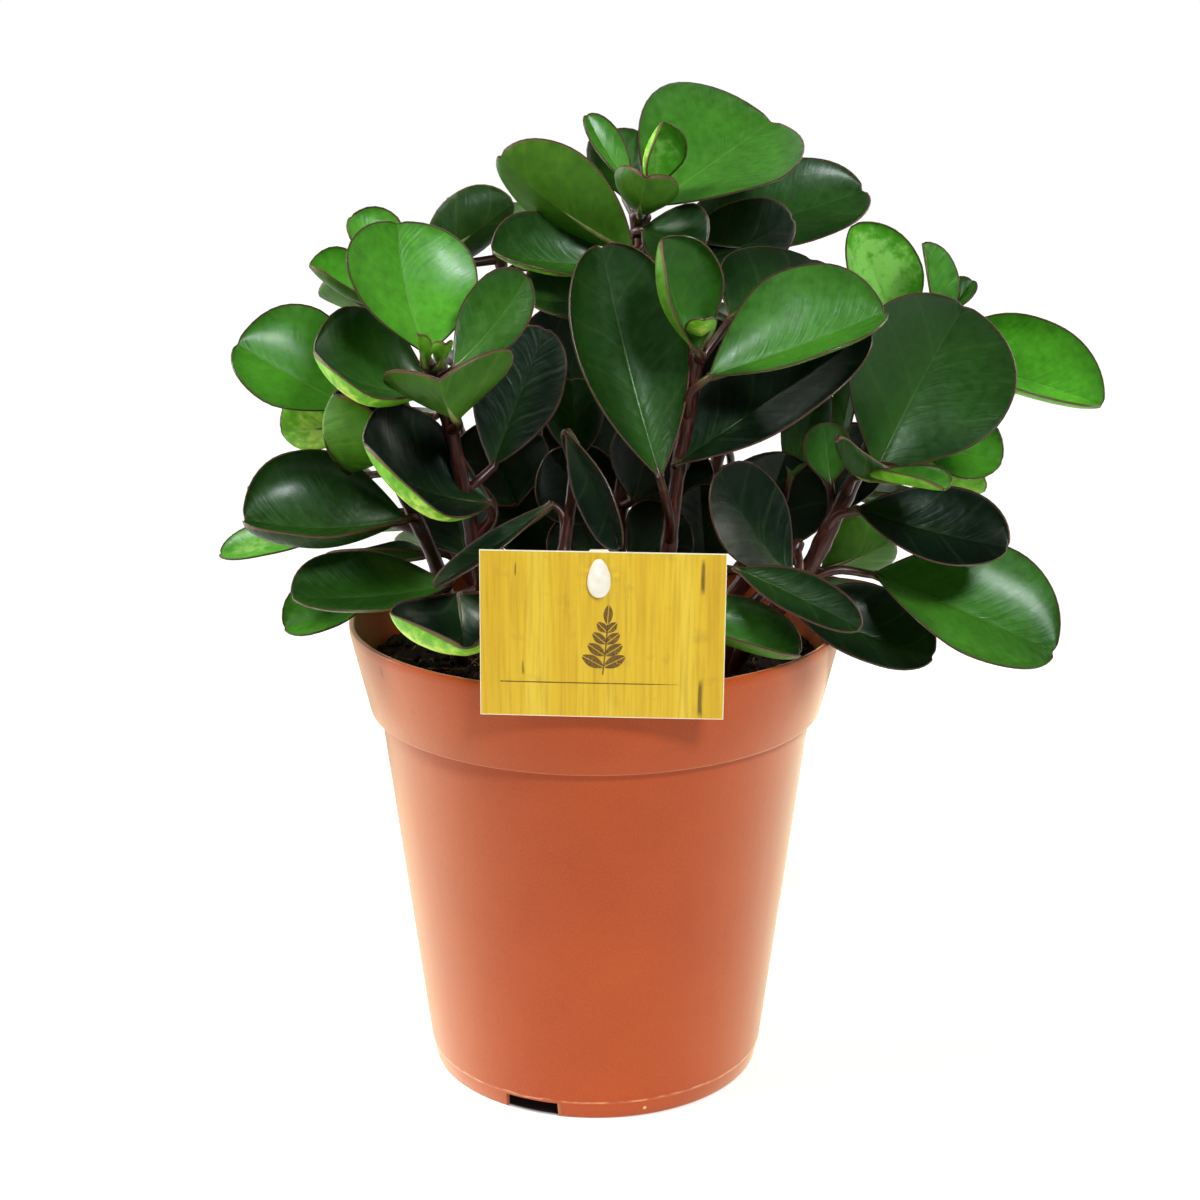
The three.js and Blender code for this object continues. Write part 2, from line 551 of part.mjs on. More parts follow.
// Radius of the outside of the wall at a height.
function wallAt(z) {
  return POT_FOOT_RADIUS + ((WALL_TOP_RADIUS - POT_FOOT_RADIUS) * z) / COLLAR_FOOT;
}

function potGeometry() {
  const footInside = POT_FOOT_RADIUS - FOOT_RING_WIDTH;
  const [lipIn, lipDown] = RIM_LIP_FOOT;
  const profile = [
    [0, 0],
    [CENTRE_PAD_RADIUS, 0],
    [CENTRE_PAD_RADIUS, FLOOR_HEIGHT],
    [footInside, FLOOR_HEIGHT],
    [footInside, 0],
    [POT_FOOT_RADIUS, 0],
    [WALL_TOP_RADIUS, COLLAR_FOOT],
    [COLLAR_FOOT_RADIUS, COLLAR_FOOT],
    [POT_RIM_RADIUS, POT_HEIGHT - RIM_BAND],
    [POT_RIM_RADIUS, POT_HEIGHT],
    [POT_RIM_RADIUS - RIM_LIP, POT_HEIGHT],
    [POT_RIM_RADIUS - lipIn, POT_HEIGHT - lipDown],
    [COLLAR_FOOT_RADIUS - COLLAR_WALL, COLLAR_FOOT + COLLAR_BEND],
    [WALL_TOP_RADIUS - POT_WALL, COLLAR_FOOT - COLLAR_BEND],
    [wallAt(FLOOR_TOP) - POT_WALL, FLOOR_TOP],
    [0, FLOOR_TOP],
  ];
  const cutters = [];
  for (const angle of FOOT_NOTCH_ANGLES) {
    const notch = new THREE.BoxGeometry(FOOT_NOTCH_WIDTH, NOTCH_REACH, 2 * FOOT_NOTCH_HEIGHT);
    notch.translate(0, -POT_FOOT_RADIUS, 0);
    notch.rotateZ(THREE.MathUtils.degToRad(angle));
    cutters.push(notch);
  }
  for (let i = 0; i < DRAIN_HOLES; i += 1) {
    const angle = (2 * Math.PI * (i + 0.5)) / DRAIN_HOLES;
    const hole = rod(DRAIN_HOLE_RADIUS, FLOOR_HEIGHT - 2, FLOOR_TOP + 2, 16);
    hole.translate(DRAIN_HOLE_RING * Math.cos(angle), DRAIN_HOLE_RING * Math.sin(angle), 0);
    cutters.push(hole);
  }
  return cut(turned(profile, POT_SIDES), cutters);
}

// --------------------------------------------------------------------- the soil
// Peat filling the pot to a gently domed top, with a hole for each stem and the stake.
const SOIL_GAP = 0.45; // between the peat and the pot's flat-sided wall
const SOIL_TAPER = 0.4; // the peat draws in a little more at its foot
const SOIL_SHOULDER = 0.3; // and this much where the wall widens into the band
const SOIL_COLLAR_GAP = 0.65; // between the peat and the inside of the band
const SOIL_FLARE = 1.6; // how far the peat widens inside the band
const SOIL_EDGE_DROP = 2.5; // how far the edge lies below the top
const SOIL_FLAT_RADIUS = 50;
const SOIL_CROWN = 1; // the middle stands this much higher
const SOIL_SIDES = 32;
const STEM_HOLE_GAP = 1.6;
const STEM_HOLE_DEPTH = 0.6; // a hole ends this far below the stem's foot
const ABOVE_SOIL = 20; // how far a cutting tool stands out of the peat
const STEM_HOLE_SIDES = 8;

function soilGeometry() {
  const inset = POT_WALL + SOIL_GAP;
  const collarInside = COLLAR_FOOT_RADIUS - COLLAR_WALL;
  const bottom = FLOOR_TOP + CLEARANCE;
  const profile = [
    [0, bottom],
    [wallAt(FLOOR_TOP) - inset - SOIL_TAPER, bottom],
    [WALL_TOP_RADIUS - inset - SOIL_SHOULDER, COLLAR_FOOT - 2],
    [collarInside - SOIL_COLLAR_GAP, COLLAR_FOOT + 3],
    [collarInside + SOIL_FLARE, SOIL_TOP - SOIL_EDGE_DROP],
    [SOIL_FLAT_RADIUS, SOIL_TOP],
    [0, SOIL_TOP + SOIL_CROWN],
  ];
  const cutters = Object.values(STEMS).map((stem) => {
    const [x, y] = stem.root;
    const radius = stem.thick[0] / 2 + STEM_HOLE_GAP;
    const hole = rod(radius, ROOT_DEPTH - STEM_HOLE_DEPTH, SOIL_TOP + ABOVE_SOIL, STEM_HOLE_SIDES);
    hole.translate(x, y, 0);
    return hole;
  });
  const stakeSlot = stakeStrip(CLEARANCE, STAKE_TOP_Z);
  return cut(turned(profile, SOIL_SIDES), [...cutters, stakeSlot]);
}

// ------------------------------------------------------------- the stake and its card
// The stake seen from the side, as [y, z]: pushed in along the pot's sloping wall.
const STAKE_ROUTE = [
  [-61, STAKE_BOTTOM_Z],
  [-70.5, 128],
  [-78.5, 155],
  [STAKE_FRONT_Y, 170],
  [STAKE_FRONT_Y, STAKE_TOP_Z],
];
const STAKE_POINT_LENGTH = 14;
const STAKE_POINT_HALF = 1; // half the width left at the blunt point
const SLAB_DEPTH = 60; // of the upright slab that gives the strip its outline
const SLAB_BACK_Y = -40;
const CARD_PIERCE = 4; // how far the hole's tool reaches past the card on each side
// The head's half section: share of its half width, and height of the dome.
const HEAD_PROFILE = [[0, 0], [1, 0], [0.97, 0.6], [0.72, 1.2], [0.36, 1.5], [0, 1.6]];
const HEAD_SIDES = 20;
const NECK_SIDES = 14;
const NECK_SINK = 0.8; // how far the neck runs into the head and into the strip

function closedShape(points) {
  const shape = new THREE.Shape(points.map(([x, y]) => new THREE.Vector2(x, y)));
  shape.closePath();
  return shape;
}

// A flat strip following the stake's route, grown by a margin on every side.
function stakeStrip(margin, topZ) {
  const front = STAKE_ROUTE.map(([y, z]) => [y - margin, z]);
  const back = STAKE_ROUTE.map(([y, z]) => [y + STAKE_THICKNESS + margin, z]);
  front[0][1] -= margin;
  back[0][1] -= margin;
  front[front.length - 1][1] = topZ;
  back[back.length - 1][1] = topZ;
  const width = STAKE_WIDTH + 2 * margin;
  const shape = closedShape([...front, ...back.reverse()]);
  const strip = new THREE.ExtrudeGeometry(shape, { depth: width, bevelEnabled: false });
  strip.translate(0, 0, -width / 2);
  // The shape was drawn in y and z and given depth in x.
  const turn = new THREE.Matrix4().makeBasis(
    new THREE.Vector3(0, 1, 0),
    new THREE.Vector3(0, 0, 1),
    new THREE.Vector3(1, 0, 0),
  );
  strip.applyMatrix4(turn);
  strip.translate(STAKE_X, 0, 0);
  return strip;
}

// The strip's outline seen from the front: square at the top, pointed at the bottom.
function stakeOutline(topZ) {
  const half = STAKE_WIDTH / 2;
  const shoulderZ = STAKE_BOTTOM_Z + STAKE_POINT_LENGTH;
  const shape = closedShape([
    [-half, topZ],
    [-half, shoulderZ],
    [-STAKE_POINT_HALF, STAKE_BOTTOM_Z],
    [STAKE_POINT_HALF, STAKE_BOTTOM_Z],
    [half, shoulderZ],
    [half, topZ],
  ]);
  const slab = new THREE.ExtrudeGeometry(shape, { depth: SLAB_DEPTH, bevelEnabled: false });
  slab.rotateX(Math.PI / 2);
  slab.translate(STAKE_X, SLAB_BACK_Y, 0);
  return slab;
}

// The domed, egg-shaped head in front of the card, turned about the neck.
function stakeHead() {
  const points = HEAD_PROFILE.map(([r, h]) => new THREE.Vector2(r, h));
  const head = new THREE.LatheGeometry(points, HEAD_SIDES);
  head.rotateX(Math.PI);
  const place = head.attributes.position;
  for (let i = 0; i < place.count; i += 1) {
    place.setX(i, place.getX(i) * (1 - HEAD_NARROWING * place.getZ(i)));
  }
  head.scale(STAKE_HEAD[0], 1, STAKE_HEAD[1]);
  head.translate(STAKE_X, CARD_FRONT_Y - CLEARANCE, STAKE_HEAD_Z);
  return head;
}

function rodAlongY(radius, from, to) {
  const geometry = new THREE.CylinderGeometry(radius, radius, to - from, NECK_SIDES);
  geometry.translate(STAKE_X, (from + to) / 2, STAKE_HEAD_Z);
  return geometry;
}

function stakeGeometry() {
  const strip = solidFrom(stakeStrip(0, STAKE_TOP_Z)).intersect(solidFrom(stakeOutline(STAKE_TOP_Z + 1)));
  const neck = rodAlongY(STAKE_NECK_RADIUS, CARD_FRONT_Y - NECK_SINK, STAKE_FRONT_Y + NECK_SINK);
  return geometryFrom(strip.add(solidFrom(neck)).add(solidFrom(stakeHead())));
}

// The card, turned a little about the stake's neck, with a round hole for it.
function cardGeometry() {
  const [centreX, centreZ] = CARD_CENTRE;
  const card = new THREE.BoxGeometry(CARD_WIDTH, CARD_THICKNESS, CARD_HEIGHT);
  card.translate(centreX - STAKE_X, CARD_THICKNESS / 2, centreZ - STAKE_HEAD_Z);
  card.rotateY(THREE.MathUtils.degToRad(CARD_ROLL));
  card.rotateZ(THREE.MathUtils.degToRad(CARD_YAW));
  card.translate(STAKE_X, CARD_FRONT_Y, STAKE_HEAD_Z);
  const holeRadius = STAKE_NECK_RADIUS + CLEARANCE;
  const hole = rodAlongY(holeRadius, CARD_FRONT_Y - CARD_PIERCE, CARD_FRONT_Y + CARD_PIERCE);
  return cut(card, [hole]);
}

// ----------------------------------------------------------------------- the scene
function named(name, geometry, colour, roughness) {
  const material = new THREE.MeshStandardMaterial({ color: colour, roughness, metalness: 0 });
  const mesh = new THREE.Mesh(geometry, material);
  mesh.name = name;
  return mesh;
}

const plant = new THREE.Group();
plant.add(named("pot", potGeometry(), "#bf5a34", 0.45));
plant.add(named("soil", soilGeometry(), "#241b15", 0.95));
plant.add(named("label_card", cardGeometry(), "#d9ab2c", 0.55));
plant.add(named("label_stake", stakeGeometry(), "#f3f1ec", 0.4));
for (const name of Object.keys(STEMS)) {
  plant.add(named(`leafy_stem_${name}`, leafyStem(name), "#2f6b2c", 0.3));
}

export default plant;
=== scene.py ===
# %% [markdown]
# # A potted peperomia with a card on a stake
#
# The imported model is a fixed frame: plain faceted solids at their real size, one node for each
# piece. This lesson dresses them. Each piece that needs a smoother or livelier surface is made
# again as a fine mesh in the same place, and stands for its node. Everything is in metres.

import math
from functools import partial

import bmesh
import bpy
import numpy as np
from mathutils import Matrix, Vector, noise


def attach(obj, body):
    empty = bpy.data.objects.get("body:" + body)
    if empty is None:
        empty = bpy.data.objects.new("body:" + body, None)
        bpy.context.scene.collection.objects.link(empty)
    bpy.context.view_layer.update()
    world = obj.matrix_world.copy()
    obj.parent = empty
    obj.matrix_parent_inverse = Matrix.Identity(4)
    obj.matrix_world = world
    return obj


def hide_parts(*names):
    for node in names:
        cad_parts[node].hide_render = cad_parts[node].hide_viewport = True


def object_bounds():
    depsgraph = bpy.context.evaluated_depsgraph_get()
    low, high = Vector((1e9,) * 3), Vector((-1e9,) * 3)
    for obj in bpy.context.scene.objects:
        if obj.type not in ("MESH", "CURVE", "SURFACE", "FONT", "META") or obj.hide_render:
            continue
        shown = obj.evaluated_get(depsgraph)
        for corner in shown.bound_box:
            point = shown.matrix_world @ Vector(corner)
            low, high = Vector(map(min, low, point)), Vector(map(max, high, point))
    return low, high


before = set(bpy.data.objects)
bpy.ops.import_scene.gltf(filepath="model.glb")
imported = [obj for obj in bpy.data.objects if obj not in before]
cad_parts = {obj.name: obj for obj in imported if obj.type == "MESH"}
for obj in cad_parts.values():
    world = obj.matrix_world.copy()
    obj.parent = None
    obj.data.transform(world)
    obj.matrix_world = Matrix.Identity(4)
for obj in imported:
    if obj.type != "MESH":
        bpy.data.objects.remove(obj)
cad_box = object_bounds()
MM = 0.001  # the tables below are in millimetres, as a grower's drawing would be

box_size = [round(side / MM, 1) for side in cad_box[1] - cad_box[0]]
print("nodes:", len(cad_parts), "box:", box_size)

# %% [markdown]
# ## Sizes
#
# The pot is a common 17 cm nursery pot, so its rim gives the scale of everything else. These are
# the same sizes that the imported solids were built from, and they are repeated here because a
# fine piece has to sit exactly where its plain solid does.

# %% Named sizes, in millimetres
POT_HEIGHT = 162.0
RIM_RADIUS = 85.0
FOOT_RADIUS = 58.8
WALL = 1.2
COLLAR_FOOT = 131.0  # height of the lower edge of the thicker band round the top
COLLAR_FOOT_RADIUS = 78.2
WALL_TOP_RADIUS = 75.0  # the wall just under that band
FLOOR_UNDERSIDE = 6.0
FLOOR_TOP = 8.0
SOIL_TOP = 149.0
CARD_WIDTH = 74.6
CARD_HEIGHT = 52.2
CARD_THICKNESS = 0.6
CARD_FRONT_Y = -88.6
CARD_CENTRE = (2.3, 180.5)  # x and z of the middle of the card
CARD_YAW, CARD_ROLL = -2.7, 0.43  # degrees that the card is turned about the stake's neck
STAKE_X = 1.2
HEAD_Z = 198.5  # height of the stake's head
STAKE_FRONT_Y = -80.4

print("pot:", POT_HEIGHT, "mm tall and", 2 * RIM_RADIUS, "mm across its rim")

# %% [markdown]
# ## The camera
#
# The plant was photographed from a little above its rim with a moderately long lens, so the pot
# narrows gently and the rim shows as a shallow ellipse. The camera comes first because every
# later choice of detail depends on how large that detail appears.

# %% Camera
CAMERA_PLACE = (0.0015, -0.703, 0.362)
CAMERA_PITCH = 74.5  # degrees up from looking straight down
LENS = 63.3  # mm on a 36 mm sensor

lens = bpy.data.cameras.new("camera")
lens.lens = LENS
lens.sensor_width = 36.0
camera = bpy.data.objects.new("camera", lens)
camera.location = CAMERA_PLACE
camera.rotation_euler = (math.radians(CAMERA_PITCH), 0.0, 0.0)
bpy.context.scene.collection.objects.link(camera)
bpy.context.scene.camera = camera
print("camera distance to the pot's axis:", -CAMERA_PLACE[1], "m")

# %% [markdown]
# ## Helpers for meshes and materials
#
# A piece is a list of points, a list of faces and, for each face, the number of its material.
# Patterns on the surface need to know where they are, so a piece can also carry maps: two
# numbers at each point, kept as UV maps, such as millimetres across and along a leaf.

# %% Build an object from points and faces
def build(name, points, faces, materials, slots=None, maps=None, smooth=True):
    """Makes a mesh object. Points are in millimetres, and maps holds two numbers a point."""
    mesh = bpy.data.meshes.new(name)
    mesh.from_pydata((np.asarray(points) * MM).tolist(), [], faces)
    for material in materials:
        mesh.materials.append(material)
    if slots is not None:
        mesh.polygons.foreach_set("material_index", slots)
    corners = np.zeros(len(mesh.loops), int)
    mesh.loops.foreach_get("vertex_index", corners)
    for map_name, values in (maps or {}).items():
        layer = mesh.uv_layers.new(name=map_name)
        layer.data.foreach_set("uv", np.asarray(values, float)[corners].ravel())
    mesh.polygons.foreach_set("use_smooth", [smooth] * len(mesh.polygons))
    mesh.update()
    piece = bpy.data.objects.new(name, mesh)
    bpy.context.scene.collection.objects.link(piece)
    return piece


def settle(piece, node):
    """Hides the plain solid that the piece replaces, and makes the piece move with the pot."""
    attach(piece, "root")
    if node:
        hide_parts(node)
    print(piece.name, "faces:", len(piece.data.polygons))


# %% Colours and shader nodes
def colour(code):
    """An sRGB hex value as the linear colour that the shader works in."""
    parts = [int(code[i : i + 2], 16) / 255 for i in (1, 3, 5)]
    linear = [p / 12.92 if p <= 0.04045 else ((p + 0.055) / 1.055) ** 2.4 for p in parts]
    return (*linear, 1.0)


def feed(node, inputs):
    """Sets or links inputs: a list fills the first sockets in order, a dictionary names them."""
    for socket, value in inputs.items() if isinstance(inputs, dict) else enumerate(inputs):
        if isinstance(value, bpy.types.NodeSocket):
            node.id_data.links.new(value, node.inputs[socket])
        else:
            node.inputs[socket].default_value = value


def add_node(tree, kind, inputs=(), out=0, stops=(), **settings):
    """Adds one node, feeds it and gives back the output socket asked for.
    Where the node has a colour ramp, stops are its (place, hex colour) pairs."""
    node = tree.nodes.new("ShaderNode" + kind)
    for setting, value in settings.items():
        setattr(node, setting, value)
    for k, (place, code) in enumerate(stops):
        elements = node.color_ramp.elements
        element = elements[k] if k < len(elements) else elements.new(place)
        element.position, element.color = place, colour(code)
    feed(node, inputs)
    return node.outputs[out]


def surface(name):
    """A new material, its principled shader, and add_node made ready for its nodes."""
    material = bpy.data.materials.new(name)
    material.use_nodes = True
    tree = material.node_tree
    print("material:", name)
    return material, tree.nodes["Principled BSDF"], partial(add_node, tree)


print("middle grey #808080 is", round(colour("#808080")[0], 3), "to the shader")

# %% [markdown]
# ## Leaf skin
#
# A peperomia leaf is thick and fleshy. Its upper skin is a smooth cuticle of plant wax, so it
# shines like satin-polished rubber: a dark green body under soft, pale, slightly broken
# highlights. The underside has a duller skin over paler tissue. On both faces a yellow-green
# glow is painted into the colour beside the midrib, for light coming through the blade. A thin
# pinkish-brown line runs round the margin.
#
# Wax and water-filled tissue have an IOR of about 1.45. A little subsurface scattering over one
# millimetre lets light through the blade. The veins and the margin are drawn from the leaf's
# own maps, so they follow each blade however it bends.

# %% Upper and lower leaf skin
LEAF_IOR = 1.45
MARGIN_WIDTH = 0.48  # mm of the coloured line at the edge of the blade
RIB_WIDTH = 0.36  # mm of the pale line over the midrib
VEIN_SPACING = 7.0  # mm between side veins, measured along the midrib
MOTTLE = 17.0  # mm across the soft lighter and darker patches
FLECK = 3.0  # mm across the finer flecks inside them
PORES = 0.9  # mm; real pores are far finer, drawn coarse enough to break up the highlight
STREAK = 2.6  # mm across the faint puckers that run from the midrib to the margin
DARK_EDGE_REACH = 9.0  # mm in from the margin over which the blade darkens
GLOW_REACH = 9.0  # mm each side of the midrib where a glow of light coming through is painted
PATTERN_SHIFT = 400.0  # mm that a leaf's own chance number moves its patterns


def leaf_maps(add, *names):
    """The two numbers of each named map, one after the other."""
    found = []
    for name in names:
        split = add("SeparateXYZ", [add("UVMap", uv_map=name)]).node.outputs
        found += [split["X"], split["Y"]]
    return found


def leaf_skin(name, old, young, fresh, glow, rib, margin, vein_strength, roughness, gloss):
    """One face of the blade: its colours from old to fresh, and the painted glow by the midrib."""
    material, shader, add = surface(name)
    across, along, edge, share, youth, chance = leaf_maps(add, "blade", "rim", "tone")
    shift = add("Math", [chance, PATTERN_SHIFT], operation="MULTIPLY")
    place = add("CombineXYZ", [across, along, shift])
    mottle, flecks, pores = (add("TexNoise", {"Vector": place, "Scale": 1 / size, "Detail": detail})
                             for size, detail in ((MOTTLE, 3.0), (FLECK, 4.0), (PORES, 2.0)))

    # The blade's colour darkens towards the margin.
    patches = add("MapRange", [mottle, 0.3, 0.7, 0.86, 1.14])
    flecked = add("Math", [flecks, 0.8, patches], operation="MULTIPLY_ADD")
    outer = add("MapRange", [edge, 0.0, DARK_EDGE_REACH, -0.65, -0.38])
    tone = add("Math", [flecked, outer], operation="ADD")
    # Painted shade and light: youth also darkens shaded faces and pales lit and backlit ones.
    age = add("Math", [youth, tone], operation="MULTIPLY", use_clamp=True)
    body = add("ValToRGB", [age], stops=[(0.0, old), (0.8, young), (1.0, fresh)])

    # Painted light: a yellow-green glow beside the midrib stands for light through the blade.
    distance = add("Math", [across], operation="ABSOLUTE")
    near = add("MapRange", [distance, GLOW_REACH, 0.0], interpolation_type="SMOOTHSTEP")
    fading = add("MapRange", [share, 0.85, 0.0, 0.0, 0.55])
    lively = add("MapRange", [youth, 0.0, 0.45, 0.12])  # an old leaf hardly glows
    spread = add("Math", [near, fading], operation="MULTIPLY")
    painted_glow = add("Math", [spread, lively], operation="MULTIPLY")

    # Side veins leave the midrib at a slant and bend towards the tip.
    bend = add("Math", [distance, 0.62], operation="POWER")
    slant = add("Math", [bend, -2.6, along], operation="MULTIPLY_ADD")
    wander = add("Math", [mottle, 5.0, slant], operation="MULTIPLY_ADD")
    turns = add("Math", [wander, VEIN_SPACING], operation="DIVIDE")
    saw = add("Math", [turns, 1.0], operation="PINGPONG")
    vein = add("MapRange", [saw, 0.0, 0.16, 1.0, 0.0], interpolation_type="SMOOTHSTEP")
    veined = add("Math", [vein, vein_strength], operation="MULTIPLY")

    midrib = add("MapRange", [distance, RIB_WIDTH, 0.1])
    thinning = add("MapRange", [share, 0.0, 0.95, 0.5, 0.12])
    pale = add("Math", [midrib, thinning], operation="MULTIPLY")
    line = add("Math", [pale, lively], operation="MULTIPLY")
    rim = add("MapRange", [edge, MARGIN_WIDTH, 0.3, 0.0, 0.9])
    for cover, tint in ((painted_glow, glow), (veined, rib), (line, rib), (rim, margin)):
        body = add("Mix", {0: cover, 6: body, 7: colour(tint)}, out=2, data_type="RGBA")

    outward = add("Math", [across, 0.16], operation="MULTIPLY")
    lengthwise = add("CombineXYZ", [outward, wander, shift])
    streaks = add("TexNoise", {"Vector": lengthwise, "Scale": 1 / STREAK, "Detail": 2.0})
    relief = {}  # quilting, puckers, pores and sunken veins, each laid on the one before
    for height, strength, depth, sunken in ((mottle, 0.4, 2.6, False), (streaks, 0.6, 0.5, False),
                                            (pores, 0.35, 0.08, False), (veined, 0.3, 0.3, True)):
        relief["Normal"] = add("Bump", {"Height": height, "Strength": strength,
                                        "Distance": depth * MM, **relief}, invert=sunken)
    polish = add("MapRange", [flecks, 0.3, 0.7, roughness - 0.09, roughness + 0.12])
    feed(shader, {"Base Color": body, "Roughness": polish, **relief, "IOR": LEAF_IOR,
                  "Specular IOR Level": 0.32, "Specular Tint": colour("#cdeed6"),
                  "Subsurface Weight": 0.2, "Subsurface Radius": (0.5, 1.0, 0.12),
                  "Subsurface Scale": 1.1 * MM, "Coat Weight": gloss, "Coat Roughness": 0.24})
    return material


# Near-black old colours also paint shade deep in the plant; pale fresh ones paint lit faces.
waxy_upper_skin = leaf_skin(
    "leaf_upper_waxy_cuticle", old="#06150a", young="#5cb02c", fresh="#98d868", glow="#55962c",
    rib="#86ab5c", margin="#553830", vein_strength=0.03, roughness=0.4, gloss=0.25)
dull_lower_skin = leaf_skin(
    "leaf_underside_pale_skin", old="#0a1c0a", young="#7cc82c", fresh="#cdf062", glow="#5c982c",
    rib="#93a85a", margin="#6e4a3c", vein_strength=0.05, roughness=0.46, gloss=0.0)

# %% [markdown]
# ## Stem skin
#
# The stems are succulent too: smooth, a little shiny, and coloured wine-red to brown by pigment
# in the skin, greener where they are young. The map along the stem gives millimetres of length
# and how young it is.

# %% Stem and stalk skin
def stem_skin():
    material, shader, add = surface("stem_wine_red_skin")
    around, along, youth, chance = leaf_maps(add, "blade", "tone")
    place = add("CombineXYZ", [around, along, chance])
    stretched = add("VectorMath", [place, (1.2, 0.22, 60.0)], operation="MULTIPLY")
    streaks = add("TexNoise", {"Vector": stretched, "Scale": 0.8, "Detail": 4.0})
    blotches = add("TexNoise", {"Vector": place, "Scale": 0.16, "Detail": 2.0})
    red = add("ValToRGB", [streaks], stops=[(0.3, "#1e0b08"), (0.52, "#3a1610"), (0.75, "#66301d")])
    green = add("ValToRGB", [streaks], stops=[(0.3, "#5b6a2a"), (0.7, "#86994a")])
    fresh = add("Math", [blotches, 0.9, youth], operation="MULTIPLY_ADD")
    greening = add("MapRange", [fresh, 0.85, 1.45, 0.0, 0.9])
    body = add("Mix", {0: greening, 6: red, 7: green}, out=2, data_type="RGBA")
    grain = add("Bump", {"Height": streaks, "Strength": 0.4, "Distance": 0.15 * MM})
    feed(shader, {"Base Color": body, "Roughness": 0.36, "Normal": grain, "IOR": LEAF_IOR,
                  "Subsurface Weight": 0.12, "Subsurface Radius": (1.0, 0.35, 0.15),
                  "Subsurface Scale": 1.0 * MM})
    return material


wine_red_stem = stem_skin()
